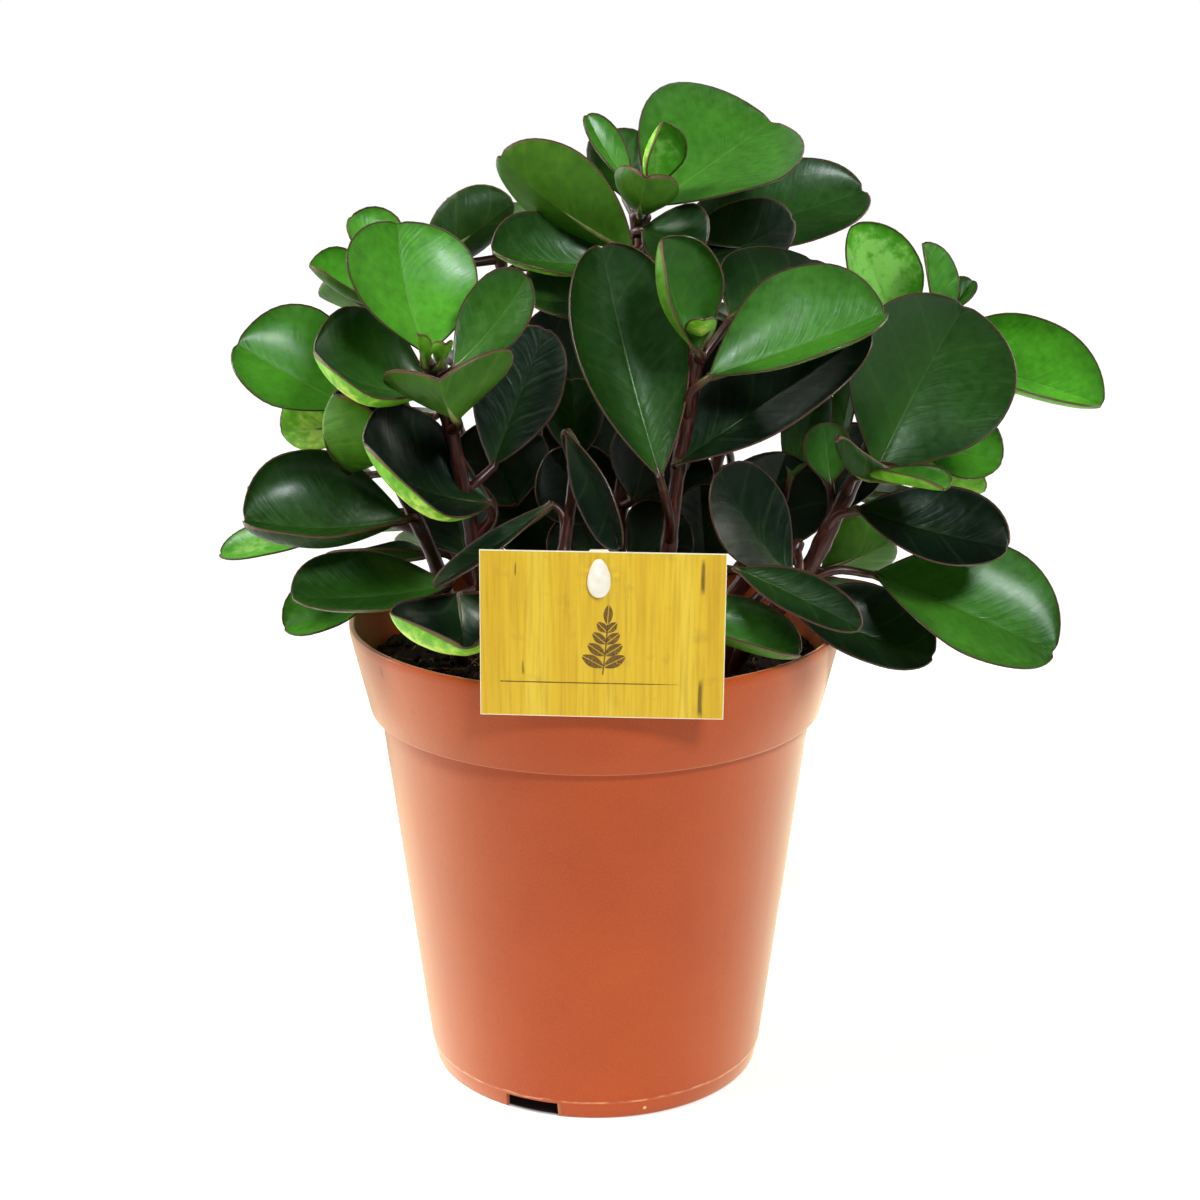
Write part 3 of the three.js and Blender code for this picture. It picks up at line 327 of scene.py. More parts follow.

# %% [markdown]
# ## Where the stems and leaves are
#
# Stems and leaves are set out on an elevation drawing: x across, z up, and how far a point
# stands in front of the pot's axis. The drawing is seen from the camera's own place, so a nearer
# point lands where it would be seen. A stem has its root in the soil, its thickness at the root
# and at the tip, and its route. A leaf has the share of the stem's length where it grows, its
# base and tip, its width, and where its upper face looks: degrees round from the front, and up.
# Then come its bends: the fold at the midrib and the curl of each half in degrees, the sag of
# the midrib as a share of its length, and how many degrees further the margin turns up. Last is
# how bright its upper and its lower face are coloured, from 0 for a dark old leaf to 1 for a
# bright shoot. These numbers paint shade and light as well as age: a face deep in the plant or
# turned from the lamps is coloured darker, and a lit or backlit face paler.

# %% Table of stems and leaves
# name: root x y, thickness at root and tip, then x z near of each point of the route
# share, base x z near, tip x z near, width, facing, fold curl sag margin, upper lower
HIDDEN_LEAF = [8, 30, 0.03, 14, 0.07, 0.17]  # what a leaf's row that stops early goes on with
DRAWING = """
front_left: -32 -38 7.5 4 -42 190 42 -46 212 45 -51 235 49 -55 248 51
0.97 -56.5 252.5 54 -65.5 296 34 48.5 36 24 7 16 0.09 10 0.61 0.71
0.93 -47.5 248 59.5 -22.5 278.5 58.5 26.5 -26 30 5 20 0.08 13 0.2 0.32
0.8 -46.5 230.5 70 -52.5 244 81 51 179 30 32 8 0.2 2 0.22 0.17
0.86 -55 240.5 45.5 -94.5 254 52.5 55.5 6 65 3 37 0.16 42 0.09 0.95
0.99 -57 249 58 -59 259 64 7 150 20 20 40 0.02 14 0.8 0.8
0.99 -52 249 62 -50 256 69 9 -160 25 20 40 0.02 14 0.8 0.8
0.45 -35.5 201.5 46.5 -79 223 69.5 53.5 28 57 3 31 0.14 50 0 1
0.6 -35 214 41 -16.5 261 33.5 31.5 -10 29 13 16 -0.01 0 0 0.12
centre: 20 -34 7.5 4 25 185 40 28 212 44 32 236 48 34.5 253 50
0.42 22 210.5 59 2 288.5 36.5 45.5 14 14 6 33 0.06 50 0.07 0.19
0.98 34.5 253.5 58.5 22 291 62.5 36.5 40 2 21 36 0.11 57 0.23 0.42
0.99 34 252 39 36.5 264 77 10 187 54 11 17 -0.03 0 0.8 1
0.8 38 245 56.5 96.5 266.5 51 48.5 -5 53 20 34 0.02 0 0.32 0.45
0.66 27 215 47.5 91.5 260 47 45 3 51 13 27 0.01 18 0 0.11
0.7 45 265 37 71.5 284 14 41 -32 47 2 12 -0.03 2 0.03 0.14
top: 6 4 8 4 8 195 2 11 250 4 13 285 6 15 300 8
0.98 19 301.5 11 57.5 328.5 -10.5 69 -39 25 5 24 0 1 0.3 0.41
0.95 12.5 286.5 16 -31 318 23.5 39 155 38 2 34 0.06 6 0.3 0.25
0.99 12 308 9.5 -3 330.5 1 14 33 21 14 32 0.06 9 0.42 0.49
0.99 15 299 17 16.5 311 32.5 26.5 163 35 9 46 0.18 15 0.18 0.22
0.99 18.5 307 10 22 328.5 22.5 22.5 24 35 19 39 0.1 42 0.89 1
0.97 10 304 0 6 326 -12 24 10 20 6 24 0.04 14 0.18 0.28
0.92 15.5 294 13.5 36 287.5 25.5 27 -6 41 7 26 0.04 9 0.05 0.17
0.88 5.5 282.5 12.5 -34.5 287 26.5 33 0 48 14 37 0.06 17 0.13 1
0.86 25 291 -6.5 88 306.5 -36.5 41.5 -5 44 6 27 0.05 15 0.1 0.21
0.84 24 282 -1 65 297.5 -3 35.5 3 54 2 12 0.1 18 0 0.11
0.8 4 270 12 -24 271 30 28 0 45 8 28 0.03 14 0.08 0.18
0.72 12 262 -8 22 266 -48 36 175 55
0.84 12 279 -4 28 281 -42 32 160 50
0.52 16 232 -6 46 226 -26 36 140 55
0.26 3 195.5 8 -16 219 18 32 -10 26 8 28 0.04 10 0 0.1
0.34 13 202.5 10 22.5 233 16 30 10 24 8 28 0.04 10 0 0.1
0.14 12 179 12 31.5 195.5 16 32 8 36 8 28 0.04 10 0 0.1
0.18 3 172 6 -7.5 199.5 4 30 -8 22 8 26 0.03 10 0 0.1
right: 46 -26 8 4 72 176 32 82 197 33 90 214 28 103 242 8 112 264 4
0.64 95.5 213 30 122.5 269 20.5 60 14 23 8 26 0.06 3 0.1 0.16
0.5 92.5 211.5 45.5 119.5 206 73 20.5 -25 90 5 34 0.01 53 0.56 0.79
0.98 114.5 257 2.5 108 289.5 0 19.5 44 11 32 8 -0.02 2 0.51 0.59
0.99 117 266 2 125 277 -4 12 -30 10 20 30 0.04 14 0.2 0.3
0.38 89 199.5 38.5 141.5 185.5 53 33.5 -2 48 7 22 0.04 26 0 0.1
0.24 96 176.5 30 159.5 148 43 53 10 52 8 27 -0.01 10 0.35 0.46
0.42 80 208 30 77 229 26 18 0 20 10 30 0.03 14 0.16 0.26
0.14 66 166.5 21.5 117.5 146.5 31 36.5 5 52 8 29 0.04 15 0.01 0.1
0.58 103.5 213 40 81 223 58 16 103 70 35 59 0.22 31 0.07 0.05
right_back: 42 18 7.5 4 62 190 -14 74 215 -18 90 245 -22 99 258 -24
0.97 101.5 257 -21.5 85 295.5 -15.5 34 1 32 15 47 -0.03 2 1 0.8
0.9 109 252.5 -29 171 235 3 49 -36 43 28 48 -0.03 5 0.69 0.8
0.7 110 222 -15.5 138 216 -7 28.5 -4 37 12 26 0.03 16 0.49 0.55
0.62 104 213 -18 133 206 -14 18 180 40 6 24 0.03 14 0.72 0.8
0.45 80 214 -8 87 246 -4 14 -60 10 6 24 0.03 14 0.24 0.34
0.4 66 210 -6 76 243 -6 18 -20 15 6 24 0.03 14 0.12 0.22
0.3 78 178 0 102 188 6 30 170 30 6 24 0.03 14 0.1 0.2
0.8 102 236 -34 138 238 -62 38 120 55
0.5 86 206 -30 124 194 -44 38 110 58
0.2 72 176 -20 106 160 -42 34 130 60 8 30 0.02 14 0.02 0.12
0.26 38 179 0 35.5 208 6 34 4 26 8 26 0.03 10 0 0.1
0.34 54 182.5 -10 64.5 219 -6 42 10 22 8 26 0.03 10 0 0.1
0.55 78 196 -14 86.5 229 -12 32 14 24 8 26 0.03 10 0 0.1
left_back: -34 14 7.5 4 -50 190 -12 -62 225 -14 -70 255 -14 -73 270 -14
0.98 -64 280.5 -14 -80.5 298 -15.5 24 -2 58 6 34 0.03 14 0.69 0.7
0.92 -75 269 -12.5 -95 282 -2.5 26.5 -20 54 21 42 0.06 24 0.67 0.27
0.75 -82 234.5 10 -120 256 8.5 49 -25 55 9 32 0.03 11 0.41 0.52
0.6 -82 228.5 -4.5 -106.5 227 -3 27.5 165 25 6 24 0.03 13 0.8 1
0.8 -80 252 -24 -106 244 -52 34 -120 55
0.45 -76 212 -20 -116 204 -34 38 -110 58 8 30 0.03 14 0.02 0.12
0.22 -58 184 -14 -92 178 -30 32 -130 60 8 30 0.02 14 0.02 0.12
0.24 -44.5 182.5 -8 -51 211 -4 34 -6 26 8 26 0.03 10 0 0.1
0.5 -27 200.5 -14 -39.5 229 -8 42 -10 24 8 26 0.03 10 0 0.1
low_left: -46 -14 7 4 -55 180 20 -62 197 24 -70 215 28 -73 228 30
0.97 -83 212.5 22 -88 239.5 45.5 47 62 41 33 40 0.15 40 0 0.32
0.6 -65 196 30.5 -120.5 195.5 34.5 56.5 6 58 12 38 0.08 50 0.08 0.04
0.55 -89.5 191 7 -129 183.5 3 21 -11 66 3 29 0.01 5 0.86 0.8
0.35 -50.5 172.5 31 -105 168 46 35.5 -1 64 8 32 0.05 8 0.13 0.26
0.25 -76 169 23.5 -108 157 28 28 -20 55 9 31 0.04 8 0.57 0.58
low_front: -12 -52 6.5 3.5 -13 150 52 -12 175 50 -8 205 44 -7 218 42
0.3 -47.5 169.5 42 -44.5 149.5 79.5 60.5 -6 76 5 56 0.25 21 0 1
0.58 -15 201.5 44.5 -55.5 171.5 62.5 11.5 -34 58 15 17 0.02 5 0 0.13
0.95 -10 226 52 8.5 185 62 17 -57 30 19 15 0.07 10 0 0.1
0.98 -6 216 36 -8 244 24 22 0 20 8 28 0.03 14 0.04 0.14
0.22 23.5 165 58 71 147 60 30 0 66 10 46 0.06 34 0.16 0.26
low_right: 40 -46 6.5 3.5 50 160 46 60 172 44 66 180 41 70 188 38
0.95 67.5 175 49 41.5 212.5 51 32.5 39 20 8 9 0.06 2 0 0.11
0.7 48 178.5 57.5 92 156.5 79.5 17.5 -1 43 7 33 -0.02 8 0.03 0.14
back: -12 30 7.5 4 -16 200 -30 -24 250 -30 -30 275 -26 -32 288 -24
0.97 -58 280.5 -15 -27 303 -23 29.5 -174 28 11 32 0.02 27 0.75 0.05
0.99 -30 292 -40 -38 300 -82 36 -175 62 8 30 0.04 14 0.2 0.3
0.92 -22 282 -34 8 292 -58 36 150 55 8 30 0.04 14 0.2 0.3
0.8 -16 258 -38 14 256 -72 38 150 55
0.55 -22 225 -36 -6 222 -84 36 175 60
0.35 -8 203 -34 14 202 -62 32 155 60 8 30 0.03 14 0.02 0.12
0.2 -12.5 182.5 -24 -28.5 211 -20 36 -6 24 8 26 0.03 10 0 0.1
0.35 -3.5 209.5 -24 -1 238.5 -18 36 0 20 8 26 0.03 10 0 0.1
0.66 -4 235.5 -20 -16.5 268 -14 38 -4 20 8 26 0.03 10 0 0.1
back_left: -30 44 7 4 -36 190 -50 -46 225 -56 -52 250 -60 -54 262 -62
0.98 -54 264 -72 -62 272 -106 30 -170 55 12 34 0.04 14 0.2 0.3
0.96 -60 262 -62 -92 272 -68 34 -130 55 8 30 0.04 14 0.2 0.3
0.88 -48 250 -70 -24 250 -104 38 165 55
0.72 -54 232 -66 -88 226 -92 38 -140 60
0.5 -42 208 -66 -38 198 -114 40 180 62 8 30 0.02 14 0.07 0.17
0.42 -48 196 -48 -94 190 -52 38 -120 62 8 30 0.02 14 0.02 0.12
0.22 -42 190 -56 -62 182 -92 34 -160 62 8 30 0.02 14 0.02 0.12
0.3 -30 196 -56 -24 190 -94 32 175 60 8 30 0.03 14 0.02 0.12
0.62 -54 220 -52 -90 222 -60 34 -110 60
back_right: 28 44 7 4 34 190 -50 46 235 -56 52 265 -60 54 280 -60
0.98 54 282 -70 58 292 -104 32 175 55 12 34 0.04 14 0.2 0.3
0.94 60 270 -62 90 268 -68 34 120 55 8 30 0.03 14 0.2 0.3
0.86 46 264 -68 22 268 -102 36 -165 55
0.74 58 246 -66 94 240 -90 40 140 60
0.5 46 214 -64 42 204 -112 40 180 62 8 30 0.02 14 0.07 0.17
0.42 52 200 -48 98 192 -56 40 120 62 8 30 0.02 14 0.02 0.12
0.22 38 190 -56 56 182 -92 34 160 62 8 30 0.02 14 0.02 0.12
0.64 42 232 -60 18 228 -90 36 -165 58
0.3 30 196 -56 22 192 -94 34 -170 60 8 30 0.03 14 0.02 0.12
0.26 25 195.5 -36 22 223.5 -32 38 0 24 8 26 0.03 10 0 0.1
0.55 32 237 -34 40 264.5 -30 36 6 24 8 26 0.03 10 0 0.1
"""
STEMS, LEAVES = {}, {}
for line in DRAWING.strip().splitlines():
    name, _, numbers = line.rpartition(":")
    row = [float(number) for number in numbers.split()]
    if name:
        STEMS[name], rows = row, LEAVES.setdefault(name, [])
    else:
        rows.append(row + HIDDEN_LEAF[len(row) - 10 :])
print("stems:", len(STEMS), "leaves:", sum(len(rows) for rows in LEAVES.values()))

# %% [markdown]
# ## The shape of one blade
#
# A blade is broad and blunt, widest past its middle, with a tiny notch where the midrib ends.
# Each half curls up from the midrib like the side of a boat. A sheet of points does this
# better than a sculpted or simulated leaf: across it the points crowd together at the midrib
# and at the margin, where the form turns, and the sheet is closed round a rounded lip, so the
# leaf has the real one's thickness of about a millimetre.

# %% Blade outline and curvature
VIEWPOINT = np.array([1.5, -703.0, 362.0])
WIDEST = 0.58  # where the blade is widest, as a share of its length
BLUNT = 0.12  # width left at the very tip
NOTCH = 0.005  # depth of the notch at the tip, as a share of the length
END_HOLLOW = 0.004  # how far the midrib stops short of the rounded tip
NOTCH_REACH = 1.3  # mm each side of the midrib
FULL_BASE, FULL_TIP = 0.9, 2.2  # powers: how full the outline is below and above its widest
RIPPLE, RIPPLES = 0.028, 1.4  # height of the margin's waves, in half widths, and their number
PASSED = (np.arange(12) + 0.5) / 12  # shares of the way out at which the turn is added up
NECK_RADIUS = 1.35  # of a leaf stalk where it meets the blade


def drawn(point):
    """Where a point of the drawing lands once it is moved along the line of sight."""
    x, z, near = point
    on_axis_plane = np.array([x, 0.0, z])
    return VIEWPOINT + (on_axis_plane - VIEWPOINT) * (-VIEWPOINT[1] - near) / -VIEWPOINT[1]


def facing(azimuth, elevation):
    """A direction given in degrees round from the front and degrees up."""
    a, e = math.radians(azimuth), math.radians(elevation)
    return np.array([math.sin(a) * math.cos(e), -math.cos(a) * math.cos(e), math.sin(e)])


def outline_width(v):
    """Half the blade's width at share v of its length, as a share of the most it gets."""
    rising = np.sin(np.pi / 2 * np.minimum(v / WIDEST, 1.0)) ** FULL_BASE
    past = np.clip((v - WIDEST) / (1 - WIDEST), 0.0, 1.0)
    return rising * np.sqrt(1 - (1 - BLUNT**2) * past**FULL_TIP)


def unit(vector):
    """The same direction, one long."""
    return vector / np.linalg.norm(vector)


class Blade:
    """One blade: its own axes, and the formula that bends its flat outline."""

    def __init__(self, row, chance):
        self.share, self.width, self.chance = row[0], row[7], chance
        fold, curl, self.sag, rim, self.young, self.under = row[10:]
        self.fold, self.curl, self.rim = (math.radians(angle) for angle in (fold, curl, rim))
        self.base, tip = drawn(row[1:4]), drawn(row[4:7])
        self.length = np.linalg.norm(tip - self.base)
        self.along = unit(tip - self.base)
        up = facing(*row[8:10])
        self.up = unit(up - self.along * up.dot(self.along))
        self.across = np.cross(self.along, self.up)

    def half(self, v):
        return np.maximum(self.width / 2 * outline_width(v), 0.8 * NECK_RADIUS * (1 - v))

    def turn(self, s):
        """How far the half blade has turned up, at share s of the way from midrib to margin."""
        return self.fold + self.curl * s + self.rim * s**4

    def bent(self, u, v, lift):
        """Points of the bent blade: u across from -1 to 1, v from base to tip."""
        s, hand, half = np.abs(u), np.sign(u), self.half(v)
        passed = self.turn(s[..., None] * PASSED)
        side = hand * half * s * np.cos(passed).mean(-1)
        rise = half * s * np.sin(passed).mean(-1)
        ripple = np.sin(2 * np.pi * (RIPPLES * v + self.chance + 0.31 * hand))
        rise = rise + RIPPLE * half * s**2 * ripple * np.sin(np.pi * v)
        dip = -self.sag * self.length * 4 * v * (1 - v)
        notch = NOTCH * np.exp(-((s * half / NOTCH_REACH) ** 2)) * v**30
        reach = self.length * (v - notch - END_HOLLOW * (1 - s) * v**8)
        tilt = hand * self.turn(s)
        side = side - lift * np.sin(tilt)
        height = rise + dip + lift * np.cos(tilt)
        return (self.base + reach[..., None] * self.along + height[..., None] * self.up
                + side[..., None] * self.across)


print("blade outline, base to tip:", outline_width(np.linspace(0, 1, 6)).round(2))

# %% A closed blade with its maps
# Where the columns of points stand, as shares of the way from the midrib to the margin.
ACROSS = [0, 0.025, 0.06, 0.12, 0.2, 0.3, 0.41, 0.52, 0.63, 0.73, 0.82, 0.89, 0.94, 0.972, 0.99, 1]
LONG_STEP = 2.0  # mm between rows of points along the blade
MARGIN_STEPS = 500  # points on the margin, from which the distance to it is measured
HALF_THICK = 0.47  # mm, half the thickness of the blade away from its margin
THIN_OVER, THIN_SHARE = 3.0, 0.62  # mm over which the blade thins to this share at its margin
GROOVE, KEEL = (0.3, 0.7), (0.35, 1.6)  # height and width in mm, above and below the midrib
LIP_OUT = 0.22  # mm that the rounded lip of the margin stands out


def grid_faces(rows, columns, start=0, around=False, flip=False):
    """Quads between rows of points; around joins the last column to the first."""
    faces = []
    for row in range(rows - 1):
        for column in range(columns if around else columns - 1):
            a, b = (start + row * columns + each for each in (column, (column + 1) % columns))
            quad = (a, b, b + columns, a + columns)
            faces.append(quad[::-1] if flip else quad)
    return faces


def border(rows, columns):
    """The row and column of each point round the edge of a grid, in order."""
    ring = [(row, 0) for row in range(rows)] + [(rows - 1, column) for column in range(1, columns)]
    ring += [(row, columns - 1) for row in range(rows - 2, -1, -1)]
    return ring + [(0, column) for column in range(columns - 2, 0, -1)]


def blade_mesh(blade):
    """Points, faces, slots and maps of one closed blade."""
    rows = int(np.clip(blade.length / LONG_STEP, 14, 30))
    v = 0.5 - 0.5 * np.cos(np.linspace(0, np.pi, rows))
    u = np.array([-s for s in ACROSS[:0:-1]] + ACROSS)
    V, U = np.meshgrid(v, u, indexing="ij")
    x, y = U * blade.half(V), V * blade.length

    fine_v = np.linspace(0, 1, MARGIN_STEPS)
    gap_x = np.abs(x)[..., None] - blade.half(fine_v)
    gap_y = y[..., None] - fine_v * blade.length
    edge = np.sqrt(gap_x**2 + gap_y**2).min(-1)
    edge = np.minimum(edge, blade.length - y + 0.02)

    thin = HALF_THICK * (THIN_SHARE + (1 - THIN_SHARE) * np.clip(edge / THIN_OVER, 0, 1))
    groove, keel = (depth * np.exp(-((x / width) ** 2)) for depth, width in (GROOVE, KEEL))
    upper = blade.bent(U, V, thin - groove * (1 - V) ** 0.6)
    lower = blade.bent(U, V, -thin - keel * (1 - V))
    columns, sheet = len(u), V.size
    faces = grid_faces(rows, columns, flip=True) + grid_faces(rows, columns, sheet)
    slots = [0] * (len(faces) // 2) + [1] * (len(faces) // 2)

    # The lip: one ring of points half-way between the faces, a little further out.
    r, c = np.array(border(rows, columns)).T
    middle = (upper[r, c] + lower[r, c]) / 2
    centre = blade.bent(np.zeros(1), np.full(1, 0.5), np.zeros(1))[0]
    outward = np.cross(middle - np.roll(middle, -1, axis=0), upper[r, c] - lower[r, c])
    outward = outward / np.maximum(np.linalg.norm(outward, axis=1), 1e-6)[:, None]
    outward *= np.sign(((middle - centre) * outward).sum(1))[:, None]
    lip = middle + LIP_OUT * outward
    top = r * columns + c
    for i in range(len(r)):
        j = (i + 1) % len(r)
        out, out_next = 2 * sheet + i, 2 * sheet + j
        faces += [(top[i], top[j], out_next, out), (out, out_next, top[j] + sheet, top[i] + sheet)]
        slots += [0, 0]

    points = np.concatenate([upper.reshape(-1, 3), lower.reshape(-1, 3), lip])
    maps = {"tone": np.tile([blade.young, blade.chance], (len(points), 1))}
    maps["tone"][sheet : 2 * sheet, 0] = blade.under
    for name, pair in (("blade", (x, y)), ("rim", (edge, V))):
        grid = np.stack(pair, -1)
        maps[name] = np.concatenate([grid.reshape(-1, 2), grid.reshape(-1, 2), grid[r, c]])
    return points, faces, slots, maps


print("points across a blade:", 2 * len(ACROSS) - 1)

# %% [markdown]
# ## Stems and stalks
#
# A stem is a tapering round tube along a smooth curve, swollen a little at each node where a
# leaf grows. A leaf stalk leaves the stem there, bends towards the blade and runs on under it
# as the raised rib. Both are made by the same function: a ring of points carried along a route.
# A curve object with a bevel would be quicker, but it can't swell at chosen places.

# %% Tubes along a route
SIDES = 12
CURVE_STEPS = 24  # points between two given ones, before they are spaced evenly
BLENDS = (((0, 1), (1, 2), (2, 3)), ((0, 2), (1, 3)), ((1, 2),))  # knots of each round of blends


def circle(count):
    """Evenly spaced angles round a circle."""
    return np.arange(count) * 2 * np.pi / count


def body_faces(rings, size, flip=False):
    """A closed round body: quads between its rings, and a fan to one last point at each end."""
    faces = grid_faces(rings, size, around=True, flip=flip)
    first = rings * size
    last_ring = first - size
    for k in range(size):
        following = (k + 1) % size
        for a, b, c in ((first, following, k), (first + 1, last_ring + k, last_ring + following)):
            faces.append((a, c, b) if flip else (a, b, c))
    return faces


def walked_along(route):
    """How far along the route each of its points is."""
    return np.concatenate([[0], np.cumsum(np.linalg.norm(np.diff(route, axis=0), axis=1))])


def headings(route):
    """The direction of the route at each of its points."""
    ahead = np.gradient(route, axis=0)
    return ahead / np.linalg.norm(ahead, axis=1)[:, None]


def smooth_route(points, count):
    """Evenly spaced points on a centripetal Catmull-Rom curve through the given ones."""
    points = np.array(points, float)
    ends = np.vstack([2 * points[0] - points[1], points, 2 * points[-1] - points[-2]])
    fine = []
    for four in zip(ends, ends[1:], ends[2:], ends[3:]):
        gaps = [max(np.linalg.norm(q - p), 1e-6) ** 0.5 for p, q in zip(four, four[1:])]
        k = np.cumsum([0] + gaps)
        for t in np.linspace(k[1], k[2], CURVE_STEPS, endpoint=False):
            row = four
            for knots in BLENDS:
                row = [((k[j] - t) * p + (t - k[i]) * q) / (k[j] - k[i])
                       for p, q, (i, j) in zip(row, row[1:], knots)]
            fine.append(row[0])
    fine = np.array(fine + [points[-1]])
    walked = walked_along(fine)
    even = np.linspace(0, walked[-1], count)
    return np.stack([np.interp(even, walked, fine[:, k]) for k in range(3)], 1)


def tube_mesh(route, radii, young, chance, share):
    """A round tube with closed, rounded ends; its rings keep facing the same way as it bends."""
    ahead, walked, turns = headings(route), walked_along(route), circle(SIDES)
    side = unit(np.cross(ahead[0], (0.3, 0.9, 0.1)))
    points, blade_map = [], []
    for i, (centre, radius) in enumerate(zip(route, radii)):
        side = unit(side - ahead[i] * side.dot(ahead[i]))
        over = np.cross(ahead[i], side)
        spokes = np.cos(turns)[:, None] * side + np.sin(turns)[:, None] * over
        points.append(centre + radius * spokes)
        blade_map += [(radius * math.cos(t) * 2, walked[i]) for t in turns]
    points += [route[:1] - ahead[:1] * radii[0] * 0.4, route[-1:] + ahead[-1:] * radii[-1] * 0.5]
    faces = body_faces(len(route), SIDES)
    maps = {
        "blade": np.array(blade_map),
        "rim": np.repeat([(0.0, each) for each in share], SIDES, axis=0),
        "tone": np.repeat([(each, chance) for each in young], SIDES, axis=0),
    }
    maps = {name: np.concatenate([pairs, pairs[[0, -1]]]) for name, pairs in maps.items()}
    return np.concatenate(points), faces, [2] * len(faces), maps


print("points round a stem:", SIDES)

# %% Stalks and stems
STEM_RINGS = 110
STALK_RINGS = 12  # in its free part, and again in the rib under the blade
STALK_RADIUS = 1.8  # of a leaf stalk where it leaves the stem
ROOT_DEPTH = 92.0
NODE_SWELLING = 0.45
RIB_END = 0.62  # share of the blade's length where the raised rib has sunk into it


def join(parts):
    """The points and the faces of several parts as one list each."""
    points, faces = [], []
    for part_points, part_faces, *_ in parts:
        start = len(points)
        points += list(part_points)
        faces += [tuple(start + i for i in face) for face in part_faces]
    return points, faces


def stalk_mesh(blade, node, stem_ahead):
    """From inside the stem to the blade's base, then on along its underside as the rib."""
    reach = np.linalg.norm(blade.base - node)
    leave = unit(0.45 * stem_ahead + unit(blade.base - node))
    middle = (node + blade.base) / 2
    middle = middle + 0.16 * reach * (leave - blade.along) + 0.03 * reach * blade.up
    free = smooth_route([node, middle, blade.base - blade.up * 0.75], STALK_RINGS)
    under_share = np.linspace(0.05, RIB_END, STALK_RINGS)
    under_radius = NECK_RADIUS * (1 - under_share / RIB_END) ** 0.8 * 0.85 + 0.16
    rib = blade.bent(np.zeros(STALK_RINGS), under_share, 0.22 - under_radius)

    def steps(start, end):
        return np.linspace(start, end, STALK_RINGS)

    radii = np.concatenate([steps(STALK_RADIUS, NECK_RADIUS), under_radius])
    young = np.concatenate([steps(-0.1, 0.45), steps(0.5, 1.1)]) + 0.3 * blade.young
    share = np.concatenate([steps(0, 0.5), steps(0.5, 1)])
    return tube_mesh(np.vstack([free, rib]), radii, young, blade.chance, share)


def leafy_stem(name):
    """One stem with its stalks and blades, as a single mesh."""
    root_x, root_y, thick_root, thick_tip, *route = STEMS[name]
    below = [(root_x, root_y, z) for z in (ROOT_DEPTH, SOIL_TOP - 10, SOIL_TOP + 2)]
    line = smooth_route(below + [drawn(p) for p in np.reshape(route, (-1, 3))], STEM_RINGS)
    walked, ahead = walked_along(line), np.gradient(line, axis=0)
    total = walked[-1]
    buried = (SOIL_TOP + 2 - ROOT_DEPTH) / total
    radii = np.linspace(thick_root, thick_tip, STEM_RINGS) / 2
    parts = []
    for row, chance in zip(LEAVES[name], rng.random(len(LEAVES[name]))):
        blade = Blade(row, chance)
        at = (buried + blade.share * (1 - buried)) * total
        node, stem_ahead = (np.array([np.interp(at, walked, values[:, k]) for k in range(3)])
                            for values in (line, ahead))
        radii = radii + NODE_SWELLING * np.exp(-(((walked - at) / 2.2) ** 2))
        parts += [stalk_mesh(blade, node, unit(stem_ahead)), blade_mesh(blade)]
    radii = radii * (1 + 0.03 * np.sin(walked * 0.9) * np.sin(walked * 0.23))
    share = walked / total
    parts.append(tube_mesh(line, radii, 0.55 * share**3 - 0.15, rng.random(), share))
    points, faces = join(parts)
    slots = [slot for part in parts for slot in part[2]]
    maps = {key: np.concatenate([part[3][key] for part in parts])
            for key in ("blade", "rim", "tone")}
    skins = [waxy_upper_skin, dull_lower_skin, wine_red_stem]
    return build("leaves_and_stem_" + name, points, faces, skins, slots, maps)


# %% Grow the plant
rng = np.random.default_rng(17)
for stem_name in STEMS:
    settle(leafy_stem(stem_name), "leafy_stem_" + stem_name)

# %% [markdown]
# ## Pot plastic
#
# Nursery pots are thin injection-moulded polypropylene, coloured through with a terracotta
# pigment. The mould leaves a satin skin with a very fine grain, faint flow marks running up the
# wall, and a line of slightly rough, paler plastic where the foot meets the wall. Handling adds
# a few small scuffs and a drip of dried peat. Polypropylene's IOR is 1.49, and its skin is
# between satin and matt, so the sides pick up soft light at a glancing angle.

# %% Moulded terracotta polypropylene
POT_GRAIN = 0.5  # mm; the mould's real grain is finer, drawn coarse enough to show
SEAM_HEIGHT = 6.6  # mm above the ground, where the foot meets the wall
# Small marks: place in mm, how much each is shortened upwards, radius in mm, and colour.
MARKS = [
    ((-69.6, -47.0, 156.4), 0.12, 0.62, "#4a2414"),  # a drip of dried peat
    ((-59.0, -8.5, 13.0), 0.35, 1.7, "#8e2f17"),  # a scraped spot at the foot
    ((16.8, -56.3, 3.0), 1.0, 0.7, "#e6d6a6"),  # a grain of perlite
]


